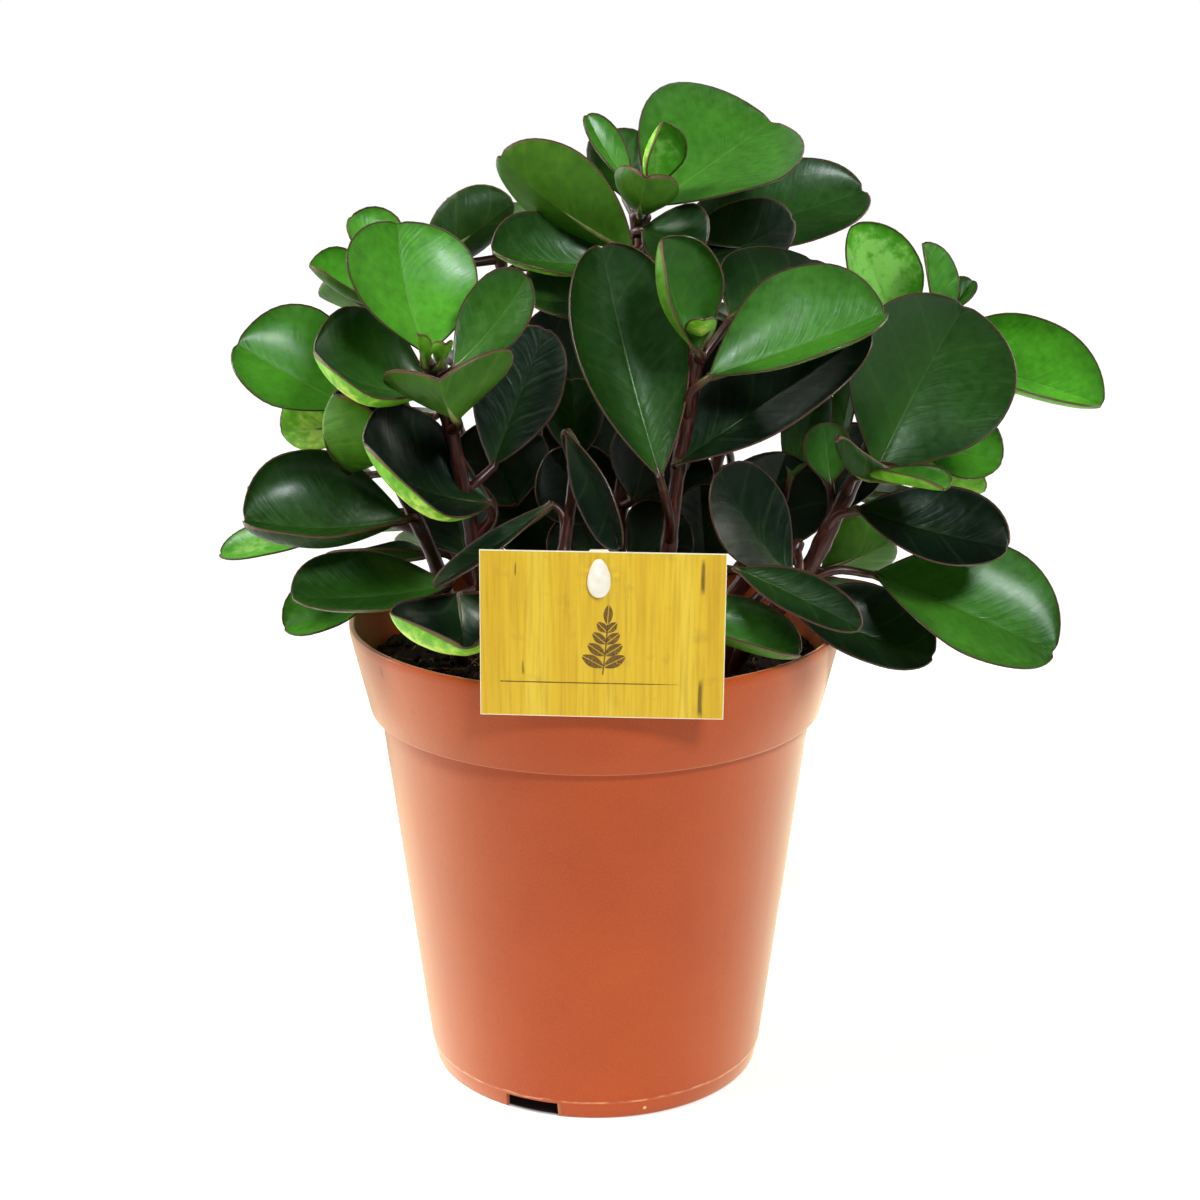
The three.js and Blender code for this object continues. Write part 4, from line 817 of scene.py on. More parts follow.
def pot_plastic():
    material, shader, add = surface("pot_terracotta_polypropylene")
    place = add("TexCoord", out="Object")
    height = add("SeparateXYZ", [place], out="Z")
    stretched = add("VectorMath", [place, (1.0, 1.0, 0.12)], operation="MULTIPLY")
    grain, cloud, flow, breaks, scuff = (
        add("TexNoise", {"Vector": where, "Scale": 1 / (size * MM), "Detail": detail})
        for where, size, detail in ((place, POT_GRAIN, 2.0), (place, 38, 3.0), (stretched, 7, 2.0),
                                    (place, 5, 4.0), (stretched, 2.4, 5.0)))
    body = add("ValToRGB", [cloud], stops=[(0.3, "#aa3f09"), (0.7, "#b44810")])
    speck = add("MapRange", [grain, 0.35, 0.7, 0.0, 0.22])

    # The broken pale line at the seam: a narrow band in height, cut up by noise round the pot.
    wobble = add("Math", [flow, 1.6 * MM, height], operation="MULTIPLY_ADD")
    off_seam = add("Math", [wobble, (SEAM_HEIGHT + 0.8) * MM], operation="SUBTRACT")
    off_seam = add("Math", [off_seam], operation="ABSOLUTE")
    band = add("MapRange", [off_seam, 0.55 * MM, 0.15 * MM])
    broken = add("MapRange", [breaks, 0.42, 0.6, 0.0, 0.55])
    seam = add("Math", [band, broken], operation="MULTIPLY")
    worn = add("MapRange", [scuff, 0.71, 0.76, 0.0, 0.6])
    layers = [(speck, "#cf6a35"), (seam, "#e8b184"), (worn, "#8f3a20")]

    for centre, shortened, radius, tint in MARKS:
        squeeze = (1.0, 1.0, shortened)
        squeezed = add("VectorMath", [place, squeeze], operation="MULTIPLY")
        target = [value * share * MM for value, share in zip(centre, squeeze)]
        away = add("VectorMath", [squeezed, target], out="Value", operation="DISTANCE")
        ragged = add("Math", [grain, 0.5 * MM, away], operation="MULTIPLY_ADD")
        mark = add("MapRange", [ragged, (radius + 0.35) * MM, (radius - 0.05) * MM, 0.0, 0.85])
        layers.append((mark, tint))
    for cover, tint in layers:
        body = add("Mix", {0: cover, 6: body, 7: colour(tint)}, out=2, data_type="RGBA")

    moulded = add("Bump", {"Height": grain, "Strength": 0.25, "Distance": 0.05 * MM})
    flowing = add("Bump", {"Height": flow, "Strength": 0.25, "Distance": 0.25 * MM,
                           "Normal": moulded})
    satin = add("MapRange", [cloud, 0.3, 0.7, 0.33, 0.43])
    feed(shader, {"Base Color": body, "Roughness": satin, "Normal": flowing, "IOR": 1.49,
                  "Specular IOR Level": 0.2, "Sheen Weight": 0.74, "Sheen Tint": colour("#fff3c6"),
                  "Sheen Roughness": 0.41, "Subsurface Weight": 0.06,
                  "Subsurface Radius": (1.0, 0.4, 0.2), "Subsurface Scale": 0.8 * MM})
    return material


terracotta_plastic = pot_plastic()

# %% [markdown]
# ## The pot's shape
#
# The pot is turned: one outline, carried round the axis. The outline has small rounds wherever
# the mould has them, because a perfectly sharp edge never catches a line of light. Three
# notches in the foot ring and six holes in the floor let water out; they are cut afterwards
# with a boolean, which keeps their edges crisp.

# %% Turn the outline and cut the openings
TURNS = 192
NOTCH_BOX = np.array((9.5, 8, 5.4))  # half the size of the block that cuts a notch
NOTCH_TURNS = (-22, 98, 218)  # degrees round from the front
DRAIN_RADIUS = 5.0
DRAIN_RING = 40.0
DRAINS = 6
DRAIN_SIDES = 24


def polar(radius, angle):
    """Where a distance from the axis and an angle round it lead."""
    return radius * math.cos(angle), radius * math.sin(angle)


def wall_at(z):
    """The radius of the pot's outer wall at height z."""
    return FOOT_RADIUS + (WALL_TOP_RADIUS - FOOT_RADIUS) * z / COLLAR_FOOT


def rounded(profile, radius):
    """The outline with each inner corner replaced by a short arc of three points."""
    profile = [np.array(p, float) for p in profile]
    result = [profile[0]]
    for before, corner, after in zip(profile, profile[1:], profile[2:]):
        into, out_of = before - corner, after - corner
        size = min(radius, np.linalg.norm(into) / 2.2, np.linalg.norm(out_of) / 2.2)
        start, end = corner + unit(into) * size, corner + unit(out_of) * size
        result += [start, 0.25 * start + 0.5 * corner + 0.25 * end, end]
    return result + [profile[-1]]


def turned(name, profile, materials):
    """A closed body from an outline that starts and ends on the axis."""
    points = [(*polar(r, a), z) for r, z in profile[1:-1] for a in circle(TURNS)]
    points += [(0, 0, profile[0][1]), (0, 0, profile[-1][1])]
    return build(name, points, body_faces(len(profile) - 2, TURNS), materials)


def notch_cutter(turn):
    """A box that cuts a notch, turned round the pot's axis."""
    corners = [(x, y, z) for x in (-1, 1) for y in (-1, 1) for z in (-1, 1)]
    c, s = math.cos(turn), math.sin(turn)
    local = [np.array(corner) * NOTCH_BOX + (0, -FOOT_RADIUS, 0) for corner in corners]
    points = [(p[0] * c - p[1] * s, p[0] * s + p[1] * c, p[2]) for p in local]
    faces = [(0, 1, 3, 2), (4, 6, 7, 5), (0, 4, 5, 1), (2, 3, 7, 6), (0, 2, 6, 4), (1, 5, 7, 3)]
    return build("notch", points, faces, [], smooth=False)


def drain_cutter(turn):
    """A short rod that cuts a hole in the floor."""
    x, y = polar(DRAIN_RING, turn)
    ring = [(x + DRAIN_RADIUS * math.cos(t), y + DRAIN_RADIUS * math.sin(t))
            for t in circle(DRAIN_SIDES)]
    points = [(*p, z) for z in (FLOOR_UNDERSIDE - 2, FLOOR_TOP + 2) for p in ring]
    ends = [tuple(range(DRAIN_SIDES - 1, -1, -1)), tuple(range(DRAIN_SIDES, 2 * DRAIN_SIDES))]
    return build("drain", points, grid_faces(2, DRAIN_SIDES, around=True) + ends, [], smooth=False)


def carve(piece, tools):
    """Cuts the tools out of the piece, one boolean each, and removes them."""
    for tool in tools:
        cut = piece.modifiers.new("cut", "BOOLEAN")
        cut.operation, cut.solver, cut.object = "DIFFERENCE", "EXACT", tool
    graph = bpy.context.evaluated_depsgraph_get()
    finished = bpy.data.meshes.new_from_object(piece.evaluated_get(graph))
    piece.modifiers.clear()
    piece.data = finished
    for tool in tools:
        bpy.data.objects.remove(tool)


outline = rounded([
    (0, 0), (9, 0), (9, FLOOR_UNDERSIDE), (FOOT_RADIUS - 2.4, FLOOR_UNDERSIDE),
    (FOOT_RADIUS - 2.4, 0), (FOOT_RADIUS - 0.8, 0),
    (wall_at(SEAM_HEIGHT) - 0.45, SEAM_HEIGHT - 0.7), (wall_at(SEAM_HEIGHT), SEAM_HEIGHT + 0.2),
    (WALL_TOP_RADIUS - 0.1, COLLAR_FOOT - 0.4), (COLLAR_FOOT_RADIUS, COLLAR_FOOT + 0.2),
    (RIM_RADIUS - 0.15, POT_HEIGHT - 2.8),
    (RIM_RADIUS, POT_HEIGHT), (RIM_RADIUS - 1.8, POT_HEIGHT), (RIM_RADIUS - 2.3, POT_HEIGHT - 4),
    (COLLAR_FOOT_RADIUS - 1.4, COLLAR_FOOT + 1.5), (WALL_TOP_RADIUS - WALL, COLLAR_FOOT - 1.5),
    (wall_at(FLOOR_TOP) - WALL, FLOOR_TOP), (0, FLOOR_TOP),
], radius=0.7)
pot = turned("pot_moulded", outline, [terracotta_plastic])
notches = [notch_cutter(math.radians(degrees)) for degrees in NOTCH_TURNS]
drains = [drain_cutter(2 * math.pi * (k + 0.5) / DRAINS) for k in range(DRAINS)]
carve(pot, notches + drains)
settle(pot, "pot")

# %% [markdown]
# ## Plainer materials
#
# Peat fibres, bare board, ink and the stake's plastic need only one soft noise, which sets the
# colour and may raise the surface a little. One function makes them all.

# %% Surfaces with a single noise
def noisy_surface(name, size, detail, stops, bump=None, **looks):
    """One noise, size mm across, coloured by stops; bump is a strength and a height in mm."""
    material, shader, add = surface(name)
    place = add("TexCoord", out="Object")
    soft = add("TexNoise", {"Vector": place, "Scale": 1 / (size * MM), "Detail": detail})
    feed(shader, {"Base Color": add("ValToRGB", [soft], stops=stops), **looks})
    if bump:
        strength, height = bump
        feed(shader, {"Normal": add("Bump", {"Height": soft, "Strength": strength,
                                             "Distance": height * MM})})
    return material


root_fibre = noisy_surface("soil_tan_root_fibre", 1.5, 3.0,
                           [(0.3, "#5a3d24"), (0.55, "#8c6a42"), (0.75, "#b8976a")], Roughness=0.8)

# %% [markdown]
# ## Peat
#
# The pot is filled with milled peat: near black when damp, made of soft crumbs one to three
# millimetres across with tan root fibres. A flat disc with a bump map would show a clean line
# where it meets the pot, so the surface itself is lumpy, and loose crumbs and fibres lie on it.

# %% Damp peat
PEAT_CRUMB = 2.2  # mm across one crumb


def peat_material():
    material, shader, add = surface("soil_damp_milled_peat")
    place = add("TexCoord", out="Object")
    crumbs = add("TexVoronoi", {"Vector": place, "Scale": 1 / (PEAT_CRUMB * MM)}).node.outputs
    fine = add("TexNoise", {"Vector": place, "Scale": 1 / (0.7 * MM), "Detail": 5.0})
    dark = add("ValToRGB", [fine], stops=[(0.3, "#120c08"), (0.55, "#2b1e15"), (0.75, "#4b3727")])
    tinted = add("Mix", {0: 0.35, 6: dark, 7: crumbs["Color"]}, out=2, data_type="RGBA",
                 blend_type="SOFT_LIGHT")
    rough = add("Bump", {"Height": fine, "Strength": 0.8, "Distance": 0.6 * MM})
    lumps = add("Bump", {"Height": crumbs["Distance"], "Strength": 0.6, "Distance": 1.0 * MM,
                         "Normal": rough}, invert=True)
    feed(shader, {"Base Color": tinted, "Roughness": 0.93, "Normal": lumps, "IOR": 1.4,
                  "Specular IOR Level": 0.25})
    return material


damp_peat = peat_material()

# %% The lumpy body of peat
PEAT_RINGS = 84
PEAT_TURNS = 288
PEAT_INSET = WALL + 0.25  # in from the pot's outer wall
PEAT_MIDDLE = SOIL_TOP - 0.6
DOME_HEIGHT, DOME_RADIUS = 1.5, 76
SINK_DEPTH, SINK_FROM, SINK_WIDTH = 1.6, 62, 14  # how the peat sinks towards the pot's wall
LUMPS = [(1.5, 11.0, 3.0), (1.1, 3.6, 9.0), (0.55, 1.5, 20.0)]  # height, size, layer of noise


def peat_height(x, y):
    """Height of the peat's surface: gently domed, lumpy, and lower against the pot's wall."""
    away = math.hypot(x, y)
    dome = DOME_HEIGHT * (1 - (away / DOME_RADIUS) ** 2)
    sink = SINK_DEPTH * max(0.0, (away - SINK_FROM) / SINK_WIDTH) ** 2
    lumps = sum(height * noise.noise(Vector((x, y, layer)) / size) for height, size, layer in LUMPS)
    return PEAT_MIDDLE + dome - sink + lumps


def peat_body():
    points = []
    for radius in np.linspace(COLLAR_FOOT_RADIUS / PEAT_RINGS, COLLAR_FOOT_RADIUS, PEAT_RINGS):
        spots = [polar(radius, a) for a in circle(PEAT_TURNS)]
        points += [(*spot, peat_height(*spot)) for spot in spots]
    lower = [(COLLAR_FOOT_RADIUS - 1.9, COLLAR_FOOT + 3),
             (WALL_TOP_RADIUS - PEAT_INSET, COLLAR_FOOT - 2),
             (wall_at(70) - PEAT_INSET, 70), (wall_at(FLOOR_TOP) - PEAT_INSET, FLOOR_TOP + 0.3)]
    points += [(*polar(radius, a), z) for radius, z in lower for a in circle(PEAT_TURNS)]
    points += [(0, 0, peat_height(0, 0)), (0, 0, FLOOR_TOP + 0.3)]
    faces = body_faces(PEAT_RINGS + len(lower), PEAT_TURNS, flip=True)
    return build("peat", points, faces, [damp_peat])


settle(peat_body(), "soil")

# %% Loose crumbs and fibres
CRUMBS, CRUMB_SPREAD = 520, 74  # how many, and how far out from the axis in mm
FIBRES, FIBRE_SPREAD = 170, 70
FIBRE_STEPS = 9
FIBRE_LIMIT = 73.5  # mm from the axis; no fibre runs further out


def random_spot(spread):
    """A place on the peat, as likely in one patch as in any other of the same size."""
    angle, away = rng.random() * 2 * math.pi, spread * math.sqrt(rng.random())
    return polar(away, angle)


def loose_crumbs():
    """Small lumps pressed into the surface, each a dented ball."""
    parts = []
    for _ in range(CRUMBS):
        x, y = random_spot(CRUMB_SPREAD)
        size = rng.uniform(0.7, 2.2)
        ball = bmesh.new()
        bmesh.ops.create_icosphere(ball, subdivisions=2, radius=1.0)
        squash = [rng.uniform(low, high) for low, high in ((0.7, 1.3), (0.7, 1.3), (0.5, 0.9))]
        squash, shift = np.array(squash) * size, Vector(rng.uniform(-50, 50, 3))
        centre = np.array([x, y, peat_height(x, y) + 0.35 * size])
        dents = [1 + 0.45 * noise.noise(vert.co * 1.3 + shift) for vert in ball.verts]
        lump = [centre + np.array(vert.co) * squash * dent for vert, dent in zip(ball.verts, dents)]
        parts.append((lump, [[v.index for v in face.verts] for face in ball.faces]))
        ball.free()
    return build("peat_crumbs", *join(parts), [damp_peat])


def loose_fibres():
    """Thin curved root threads lying on the peat."""
    parts = []
    for _ in range(FIBRES):
        x, y = random_spot(FIBRE_SPREAD)
        heading, length = rng.random() * 2 * math.pi, rng.uniform(5, 16)
        curve, radius = rng.uniform(-1.6, 1.6), rng.uniform(0.12, 0.32)
        route = []
        for step in np.linspace(0, 1, FIBRE_STEPS):
            limit = min(1.0, FIBRE_LIMIT / max(math.hypot(x, y), 1e-6))
            x, y = x * limit, y * limit
            arch = 0.9 * math.sin(math.pi * step)
            route.append((x, y, peat_height(x, y) + 0.5 + arch))
            ahead_x, ahead_y = polar(length / FIBRE_STEPS, heading + curve * step)
            x, y = x + ahead_x, y + ahead_y
        zeros = [0] * FIBRE_STEPS
        parts.append(tube_mesh(np.array(route), [radius] * FIBRE_STEPS, zeros, 0, zeros))
    return build("peat_fibres", *join(parts), [root_fibre])


settle(loose_crumbs(), None)
settle(loose_fibres(), None)

# %% [markdown]
# ## The card and its stake
#
# The card is coated board, printed with a golden wood grain that runs from top to bottom. A
# sliver of white board shows round the cut edge. Where the stake's head is pushed through, the
# coating has creased in a small star. A plain drawn leaf sprig and a thin rule are the only
# ornament. The coating's IOR is about 1.5, and calendered board is satin.

# %% Printed board, its bare edge and the ink
GRAIN_LINE = 1.1  # mm between printed grain lines
PRINT_MARGIN = 0.28  # mm of bare board round the print
# Cracks in the printed wood, in mm: how far across, how wide, and from and up to what height.
CRACKS = [(67.6, 0.75, 39, 51), (67.4, 0.85, 0, 13), (13.2, 0.3, 13, 18), (11, 0.25, 44, 49)]


def printed_board():
    material, shader, add = surface("card_printed_coated_board")
    uv = add("UVMap", uv_map="card")
    split = add("SeparateXYZ", [uv]).node.outputs
    x, z = split["X"], split["Y"]
    along, streak = (add("VectorMath", [uv, (1.0, squeeze, 1.0)], operation="MULTIPLY")
                     for squeeze in (0.045, 0.1))
    lines, boards, stains, ragged, tooth = (
        add("TexNoise", {"Vector": where, "Scale": 1 / size, "Detail": detail})
        for where, size, detail in ((along, GRAIN_LINE, 4.0), (along, 11.0, 2.0), (uv, 8.0, 4.0),
                                    (streak, 1.2, 3.0), (uv, 0.5, 2.0)))
    layers = [(add("MapRange", [lines, 0.44, 0.7, 0.0, 0.6]), "#c09418"),
              (add("MapRange", [stains, 0.6, 0.75, 0.0, 0.35]), "#a27f2c")]

    # Dark cracks: one long broken one on the right, and short ones on the left.
    shake = add("Math", [ragged, 1.6, x], operation="MULTIPLY_ADD")
    for centre, width, low, high in CRACKS:
        middle, reach = (low + high) / 2, (high - low) / 2
        shares = []
        for value, target, limits in ((shake, centre + 0.8, [width, width * 0.3, 0.0, 0.8]),
                                      (z, middle, [reach, reach * 0.6])):
            off = add("Math", [value, target], operation="SUBTRACT")
            shares.append(add("MapRange", [add("Math", [off], operation="ABSOLUTE"), *limits]))
        layers.append((add("Math", shares, operation="MULTIPLY"), "#4f3912"))

    # Bare board shows in a thin frame where the sheet was trimmed.
    nearest = add("Math", [x, CARD_WIDTH], operation="PINGPONG")
    far_side = add("Math", [CARD_WIDTH, nearest], operation="SUBTRACT")
    top_side = add("Math", [CARD_HEIGHT, z], operation="SUBTRACT")
    for side in (far_side, z, top_side):
        nearest = add("Math", [nearest, side], operation="MINIMUM")
    layers.append((add("MapRange", [nearest, PRINT_MARGIN, PRINT_MARGIN * 0.6]), "#f3ecd2"))

    gold = add("ValToRGB", [boards], stops=[(0.25, "#d2a418"), (0.5, "#e2bb28"), (0.78, "#eed24a")])
    for cover, tint in layers:
        gold = add("Mix", {0: cover, 6: gold, 7: colour(tint)}, out=2, data_type="RGBA")
    board = add("Bump", {"Height": tooth, "Strength": 0.2, "Distance": 0.04 * MM})
    feed(shader, {"Base Color": gold, "Roughness": 0.42, "Normal": board, "IOR": 1.5})
    return material


wood_print = printed_board()
bare_board = noisy_surface("card_uncoated_board", 0.8, 4.0, [(0.3, "#e9e2cf"), (0.7, "#f5f0e2")],
                           bump=(0.3, 0.05), Roughness=0.8)
ink = noisy_surface("card_brown_printing_ink", 0.6, 4.0,
                    [(0.35, "#5c4214"), (0.6, "#7a5a1c"), (0.72, "#b48a2a")], Roughness=0.5)

# %% The card
CARD_STEPS = (60, 42)
CUT_EDGE = 0.25  # mm; a closer row of points here keeps the cut edge crisp
CREASES, CREASE_HEIGHT = 9, 0.16
CARD_BOW = 0.3  # mm that the card's foot stands forward in the middle
CARD_LEFT, CARD_FOOT = CARD_CENTRE[0] - CARD_WIDTH / 2, CARD_CENTRE[1] - CARD_HEIGHT / 2
HOLE = (STAKE_X - CARD_LEFT, HEAD_Z - CARD_FOOT)  # mm across and up the card
CARD_TURN = (Matrix.Rotation(math.radians(CARD_YAW), 3, "Z")
             @ Matrix.Rotation(math.radians(CARD_ROLL), 3, "Y"))


def on_card(x, z, forward):
    """The place of a point given in millimetres across, up and in front of the card."""
    turned_place = CARD_TURN @ Vector((CARD_LEFT + x - STAKE_X, -forward, CARD_FOOT + z - HEAD_Z))
    return turned_place + Vector((STAKE_X, CARD_FRONT_Y, HEAD_Z))


def card_bulge(x, z):
    """How far the card stands forward of flat, with the star of creases round the hole."""
    away, angle = math.hypot(x - HOLE[0], z - HOLE[1]), math.atan2(z - HOLE[1], x - HOLE[0])
    star = CREASE_HEIGHT * math.cos(CREASES * angle) * math.exp(-((away - 4) / 4) ** 2)
    return star + CARD_BOW * math.sin(math.pi * x / CARD_WIDTH) * (1 - z / CARD_HEIGHT)


def steps_along(size, count):
    """Even steps, with one more close to each end."""
    inner = np.linspace(0, size, count)[1:-1]
    return np.concatenate([[0, CUT_EDGE], inner, [size - CUT_EDGE, size]])


def make_card():
    xs, zs = (steps_along(*each) for each in zip((CARD_WIDTH, CARD_HEIGHT), CARD_STEPS))
    places = [(x, z) for z in zs for x in xs]
    points = [on_card(x, z, card_bulge(x, z) - depth)
              for depth in (0, CARD_THICKNESS) for x, z in places]
    wide, tall, sheet = len(xs), len(zs), len(places)
    front = grid_faces(tall, wide)
    rear = grid_faces(tall, wide, sheet, flip=True)
    ring = [row * wide + column for column, row in border(wide, tall)]
    edge = [(a, a + sheet, b + sheet, b) for a, b in zip(ring, ring[1:] + ring[:1])]
    slots = [0] * len(front) + [1] * (len(rear) + len(edge))
    return build("label_card_printed", points, front + rear + edge, [wood_print, bare_board], slots,
                 {"card": places * 2}, smooth=False)


settle(make_card(), "label_card")

# %% The sprig and the rule
INK_PROUD = 0.06  # mm in front of the board, so the print never sinks into it
SPRIG_FOOT = np.array((37.5, 13.6))  # mm across and up the card
SPRIG_TALL, SPRIG_LEAN = 19.5, 1.4
SPRIG_PAIRS = 4
MIDRIB_GAP = 0.13  # half of the line left bare in each drawn leaf
RULE_START, RULE_STEP, RULE_Z = 6.2, 1.82, 10.9
RULE_STEPS, RULE_TAPER = 30, 23  # the rule is drawn in short pieces, and thins from this one on


def ink_shape(corners):
    """One flat inked shape, given in card millimetres, as a fan of triangles."""
    fan = [np.mean(corners, axis=0), *corners]
    points = [on_card(x, z, card_bulge(x, z) + INK_PROUD) for x, z in fan]
    count = len(corners)
    return points, [(0, 1 + k, 1 + (k + 1) % count) for k in range(count)]


def sprig_leaf(base, angle, length, width):
    """A pointed leaf drawn as two inked halves with the midrib left bare."""
    ahead = np.array(polar(1, math.radians(angle)))
    side = np.array([-ahead[1], ahead[0]])
    halves = []
    for hand in (-1, 1):
        inner = [(t, MIDRIB_GAP) for t in np.linspace(0.04, 0.96, 8)]
        outer = [(t, MIDRIB_GAP + width * math.sin(math.pi * t) ** 0.8)
                 for t in np.linspace(0.96, 0.04, 12)]
        corners = [base + ahead * length * t + side * hand * out for t, out in inner + outer]
        halves.append(ink_shape(corners[::hand]))
    return halves


def printed_sprig():
    shapes = []
    stem = [SPRIG_FOOT + (SPRIG_LEAN * math.sin(1.6 * t), SPRIG_TALL * t)
            for t in np.linspace(0, 0.82, 14)]
    for a, b in zip(stem, stem[1:]):
        side = unit(np.array([-(b - a)[1], (b - a)[0]])) * 0.22
        shapes.append(ink_shape([a + side, a - side, b - side, b + side]))
    for pair in range(SPRIG_PAIRS):
        for hand in (-1, 1):
            shapes += sprig_leaf(stem[2 + pair * 3], 90 - hand * (62 - 6 * pair), 7.6 - 1.1 * pair,
                                 1.7 - 0.15 * pair)
    shapes += sprig_leaf(stem[-1], 86, 6.2, 1.3)
    for k in range(RULE_STEPS):
        start, end = RULE_START + k * RULE_STEP, RULE_START + (k + 1) * RULE_STEP
        half = 0.16 - 0.02 * max(k - RULE_TAPER, 0)
        low, high = RULE_Z - half, RULE_Z + half
        shapes.append(ink_shape([(start, low), (end, low), (end, high), (start, high)]))
    return build("label_card_sprig", *join(shapes), [ink], smooth=False)


settle(printed_sprig(), None)

# %% [markdown]
# ## The stake
#
# The stake is a flat strip of polystyrene, pushed in along the pot's sloping wall. A neck
# passes through the card and ends in a domed oval head. Polystyrene is a hard gloss plastic
# with an IOR of 1.59; it is slightly cloudy, so light softens a little inside it.

# %% Cloudy white polystyrene
cloudiness = {"Subsurface Weight": 0.2, "Subsurface Radius": (1.0, 0.9, 0.7),
              "Subsurface Scale": 1.0 * MM}
cloudy_white = noisy_surface("stake_cloudy_polystyrene", 3, 3.0,
                             [(0.3, "#efe7d2"), (0.7, "#fbf7ea")],
                             bump=(0.3, 0.2), Roughness=0.3, IOR=1.59, **cloudiness)

# %% Strip, neck and head
STRIP_WIDTH = 9.0
STRIP_THICKNESS = 1.6
STRIP_TIP = 78.0
STRIP_TOP = HEAD_Z + 6.5
STRIP_ROUTE = [(-61, STRIP_TIP), (-70.5, 128), (-78.5, 155), (STAKE_FRONT_Y, 170),
               (STAKE_FRONT_Y, STRIP_TOP)]
STRIP_RINGS, STRIP_SIDES = 60, 32
STRIP_SQUARE = (0.25, 0.6)  # powers: how square the section is, across and through
POINT_LENGTH, POINT_SHARE = 14, 0.12  # the strip narrows to this share of its width
HEAD_HALF = (3.5, 6.1)
HEAD_NARROWING = 0.18  # how much narrower the head's top end is
HEAD_BACK = CARD_FRONT_Y - 0.35 - 0.16
HEAD_SIDES = 40
PIN_RADIUS = 2.0
# The head's dome: share of its full size, and how far each ring stands forward.
DOME = [(0.9, -0.1), (1.0, 0.0), (1.0, 0.25), (0.985, 0.5), (0.93, 0.8), (0.8, 1.12), (0.6, 1.38),
        (0.34, 1.54), (0.1, 1.6)]


def end_faces(first, last, size):
    """One many-sided face on the first ring of points and one on the last."""
    return [tuple(range(first + size - 1, first - 1, -1)), tuple(range(last - size, last))]


def make_stake():
    middle = [(STAKE_X, y + STRIP_THICKNESS / 2, z) for y, z in STRIP_ROUTE]
    line = smooth_route(middle, STRIP_RINGS)
    section = [[math.copysign(abs(value) ** power, value)
                for value, power in zip(polar(1, t), STRIP_SQUARE)] for t in circle(STRIP_SIDES)]
    points = []
    for centre, way in zip(line, headings(line)):
        point_share = np.clip((centre[2] - STRIP_TIP) / POINT_LENGTH, POINT_SHARE, 1)
        top_share = np.clip((STRIP_TOP - centre[2]) / 1.6 + 0.6, 0.6, 1)
        across = np.array([STRIP_WIDTH / 2 * point_share * top_share, 0, 0])
        out = np.cross(way, (1, 0, 0))
        points += [centre + across * a + out * b * STRIP_THICKNESS / 2 for a, b in section]
    strip = len(points)
    faces = grid_faces(len(line), STRIP_SIDES, around=True, flip=True)
    faces += [face[::-1] for face in end_faces(0, strip, STRIP_SIDES)]

    # The neck and the head are one turned body, laid along the line of sight.
    rings = [[(PIN_RADIUS * math.cos(t), y, PIN_RADIUS * math.sin(t)) for t in circle(HEAD_SIDES)]
             for y in (STAKE_FRONT_Y + 0.6, CARD_FRONT_Y - 0.3)]
    for share, forward in DOME:
        spots = [polar(share, t) for t in circle(HEAD_SIDES)]
        rings.append([(HEAD_HALF[0] * x * (1 - HEAD_NARROWING * z), HEAD_BACK - forward,
                       HEAD_HALF[1] * z) for x, z in spots])
    points += [(STAKE_X + x, y, HEAD_Z + z) for ring in rings for x, y, z in ring]
    faces += grid_faces(len(rings), HEAD_SIDES, strip, around=True)
    faces += end_faces(strip, len(points), HEAD_SIDES)
    return build("label_stake_moulded", points, faces, [cloudy_white])


settle(make_stake(), "label_stake")

# %% [markdown]
# ## Floor and light
#
# The plant stands on a plain pale sweep, lit for a catalogue: a bright surround behind and
# below, soft strips from behind on both sides that whiten the pot's edges, and two small soft
# lights in front for the highlights. The surround is dark above and in front, and the sweep
# glows less in front of the pot; that is what lets the glossy leaves stay deep green. To the
# camera itself the surround is plain white all round, which only changes the background.

# %% Floor
HALF_FLOOR = 3000.0
NEAR_GLOW = 0.5  # the sweep is lit on its own, so that it photographs white
FAR_GLOW = 1.0  # far away, where the studio's own light gives out
FRONT_EDGE = (-0.36, -0.12)  # metres; from here forwards the sweep's own light fades
FRONT_SHARE = 0.3  # of that light left in front, where the leaves would mirror more of it
UNDER_POT = 0.058  # metres from the axis; inside, the sweep is a painted shadow and gives no light


def floor_material():
    material, shader, add = surface("floor_pale_paper")
    place = add("TexCoord", out="Object")
    tooth = add("TexNoise", {"Vector": place, "Scale": 1 / (2 * MM), "Detail": 3.0})
    pale = add("ValToRGB", [tooth], stops=[(0.3, "#f6f6f5"), (0.7, "#fafaf9")])
    away = add("VectorMath", [place], out="Value", operation="LENGTH")
    # Painted shadow: under the pot the sweep is near black, seen as dark hollows in the notches.
    open_floor = add("MapRange", [away, UNDER_POT - 0.002, UNDER_POT + 0.0005])
    body = add("Mix", {0: open_floor, 6: colour("#101010"), 7: pale}, out=2, data_type="RGBA")
    forwards = add("SeparateXYZ", [place], out="Y")
    back = add("MapRange", [forwards, *FRONT_EDGE, FRONT_SHARE], interpolation_type="SMOOTHSTEP")
    far = add("MapRange", [away, 0.7, 2.6], interpolation_type="SMOOTHSTEP")
    lit = add("Math", [back, far], operation="MAXIMUM")
    glow = add("Mix", {0: lit, 6: colour("#000000"), 7: body}, out=2, data_type="RGBA")
    strength = add("MapRange", [away, 0.2, 1.3, NEAR_GLOW, FAR_GLOW])
    feed(shader, {"Base Color": body, "Roughness": 0.9, "Emission Color": glow,
                  "Emission Strength": strength})
    return material


corners = [(x * HALF_FLOOR, y * HALF_FLOOR, 0) for x, y in ((-1, -1), (1, -1), (1, 1), (-1, 1))]
floor = build("floor", corners, [(0, 1, 2, 3)], [floor_material()])

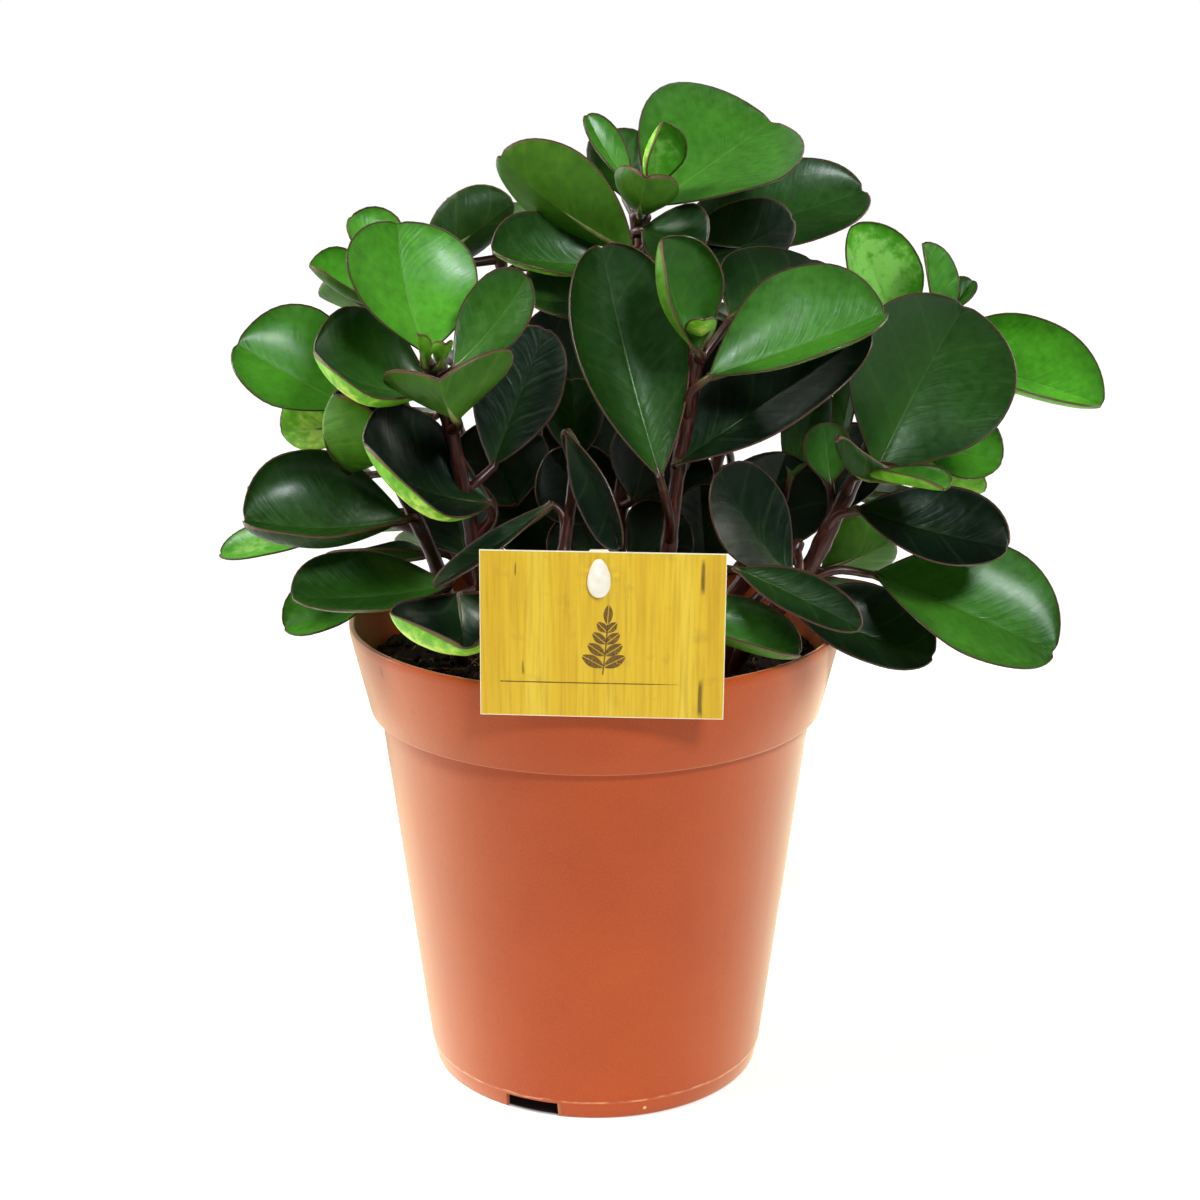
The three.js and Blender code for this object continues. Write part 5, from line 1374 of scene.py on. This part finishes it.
# %% Surround
SURROUND_BEHIND = 1.2
SURROUND_FRONT = 0.03
SEEN_WHITE = 1.0  # what the camera sees of the surround, whatever light it gives the plant


def set_surround():
    world = bpy.data.worlds.new("studio_surround")
    world.use_nodes = True
    bpy.context.scene.world = world
    add = partial(add_node, world.node_tree)
    split = add("SeparateXYZ", [add("TexCoord", out="Generated")]).node.outputs
    behind = add("MapRange", [split["Y"], -0.15, 0.6], interpolation_type="SMOOTHSTEP")
    low = add("MapRange", [split["Z"], 0.7, 0.15, 0.12], interpolation_type="SMOOTHSTEP")
    share = add("Math", [behind, low], operation="MULTIPLY")
    bright = add("MapRange", {"Value": share, 3: SURROUND_FRONT, 4: SURROUND_BEHIND})
    seen = add("LightPath", out="Is Camera Ray")
    strength = add("Mix", {0: seen, 2: bright, 3: SEEN_WHITE})
    feed(world.node_tree.nodes["Background"], {"Color": colour("#ffffff"), "Strength": strength})
    print("surround:", world.name)


set_surround()

# %% Soft lights
AIM = Vector((0, 0, 0.22))


def soft_light(name, place, size, power, tint, spread):
    lamp = bpy.data.lights.new(name, "AREA")
    lamp.shape = "RECTANGLE"
    lamp.size, lamp.size_y = size
    lamp.energy = power
    lamp.color = colour(tint)[:3]
    lamp.spread = math.radians(spread)  # like a honeycomb grid in front of the lamp
    light = bpy.data.objects.new(name, lamp)
    light.location = place
    light.rotation_euler = (AIM - Vector(place)).to_track_quat("-Z", "Y").to_euler()
    bpy.context.scene.collection.objects.link(light)


soft_light("front", (0.36, -0.92, 0.92), (0.26, 0.2), 1.15, "#f6fbff", 60)
soft_light("high_left", (-0.7, -0.35, 1.3), (0.36, 0.3), 1.7, "#fffdf8", 70)
soft_light("strip_left", (-1.1, 0.42, 0.5), (0.45, 0.9), 2.45, "#fffdfa", 80)
soft_light("strip_right", (1.1, 0.42, 0.5), (0.45, 0.9), 1.25, "#fff8e8", 80)
bpy.context.scene.view_settings.view_transform = "Standard"
print("lights:", [light.name for light in bpy.data.lights])

# %% [markdown]
# ## Measure and finish
#
# The imported model's box is written down, in millimetres.

# %% Write the imported model's box
print("cad", [round(v / MM, 1) for corner in cad_box for v in corner])
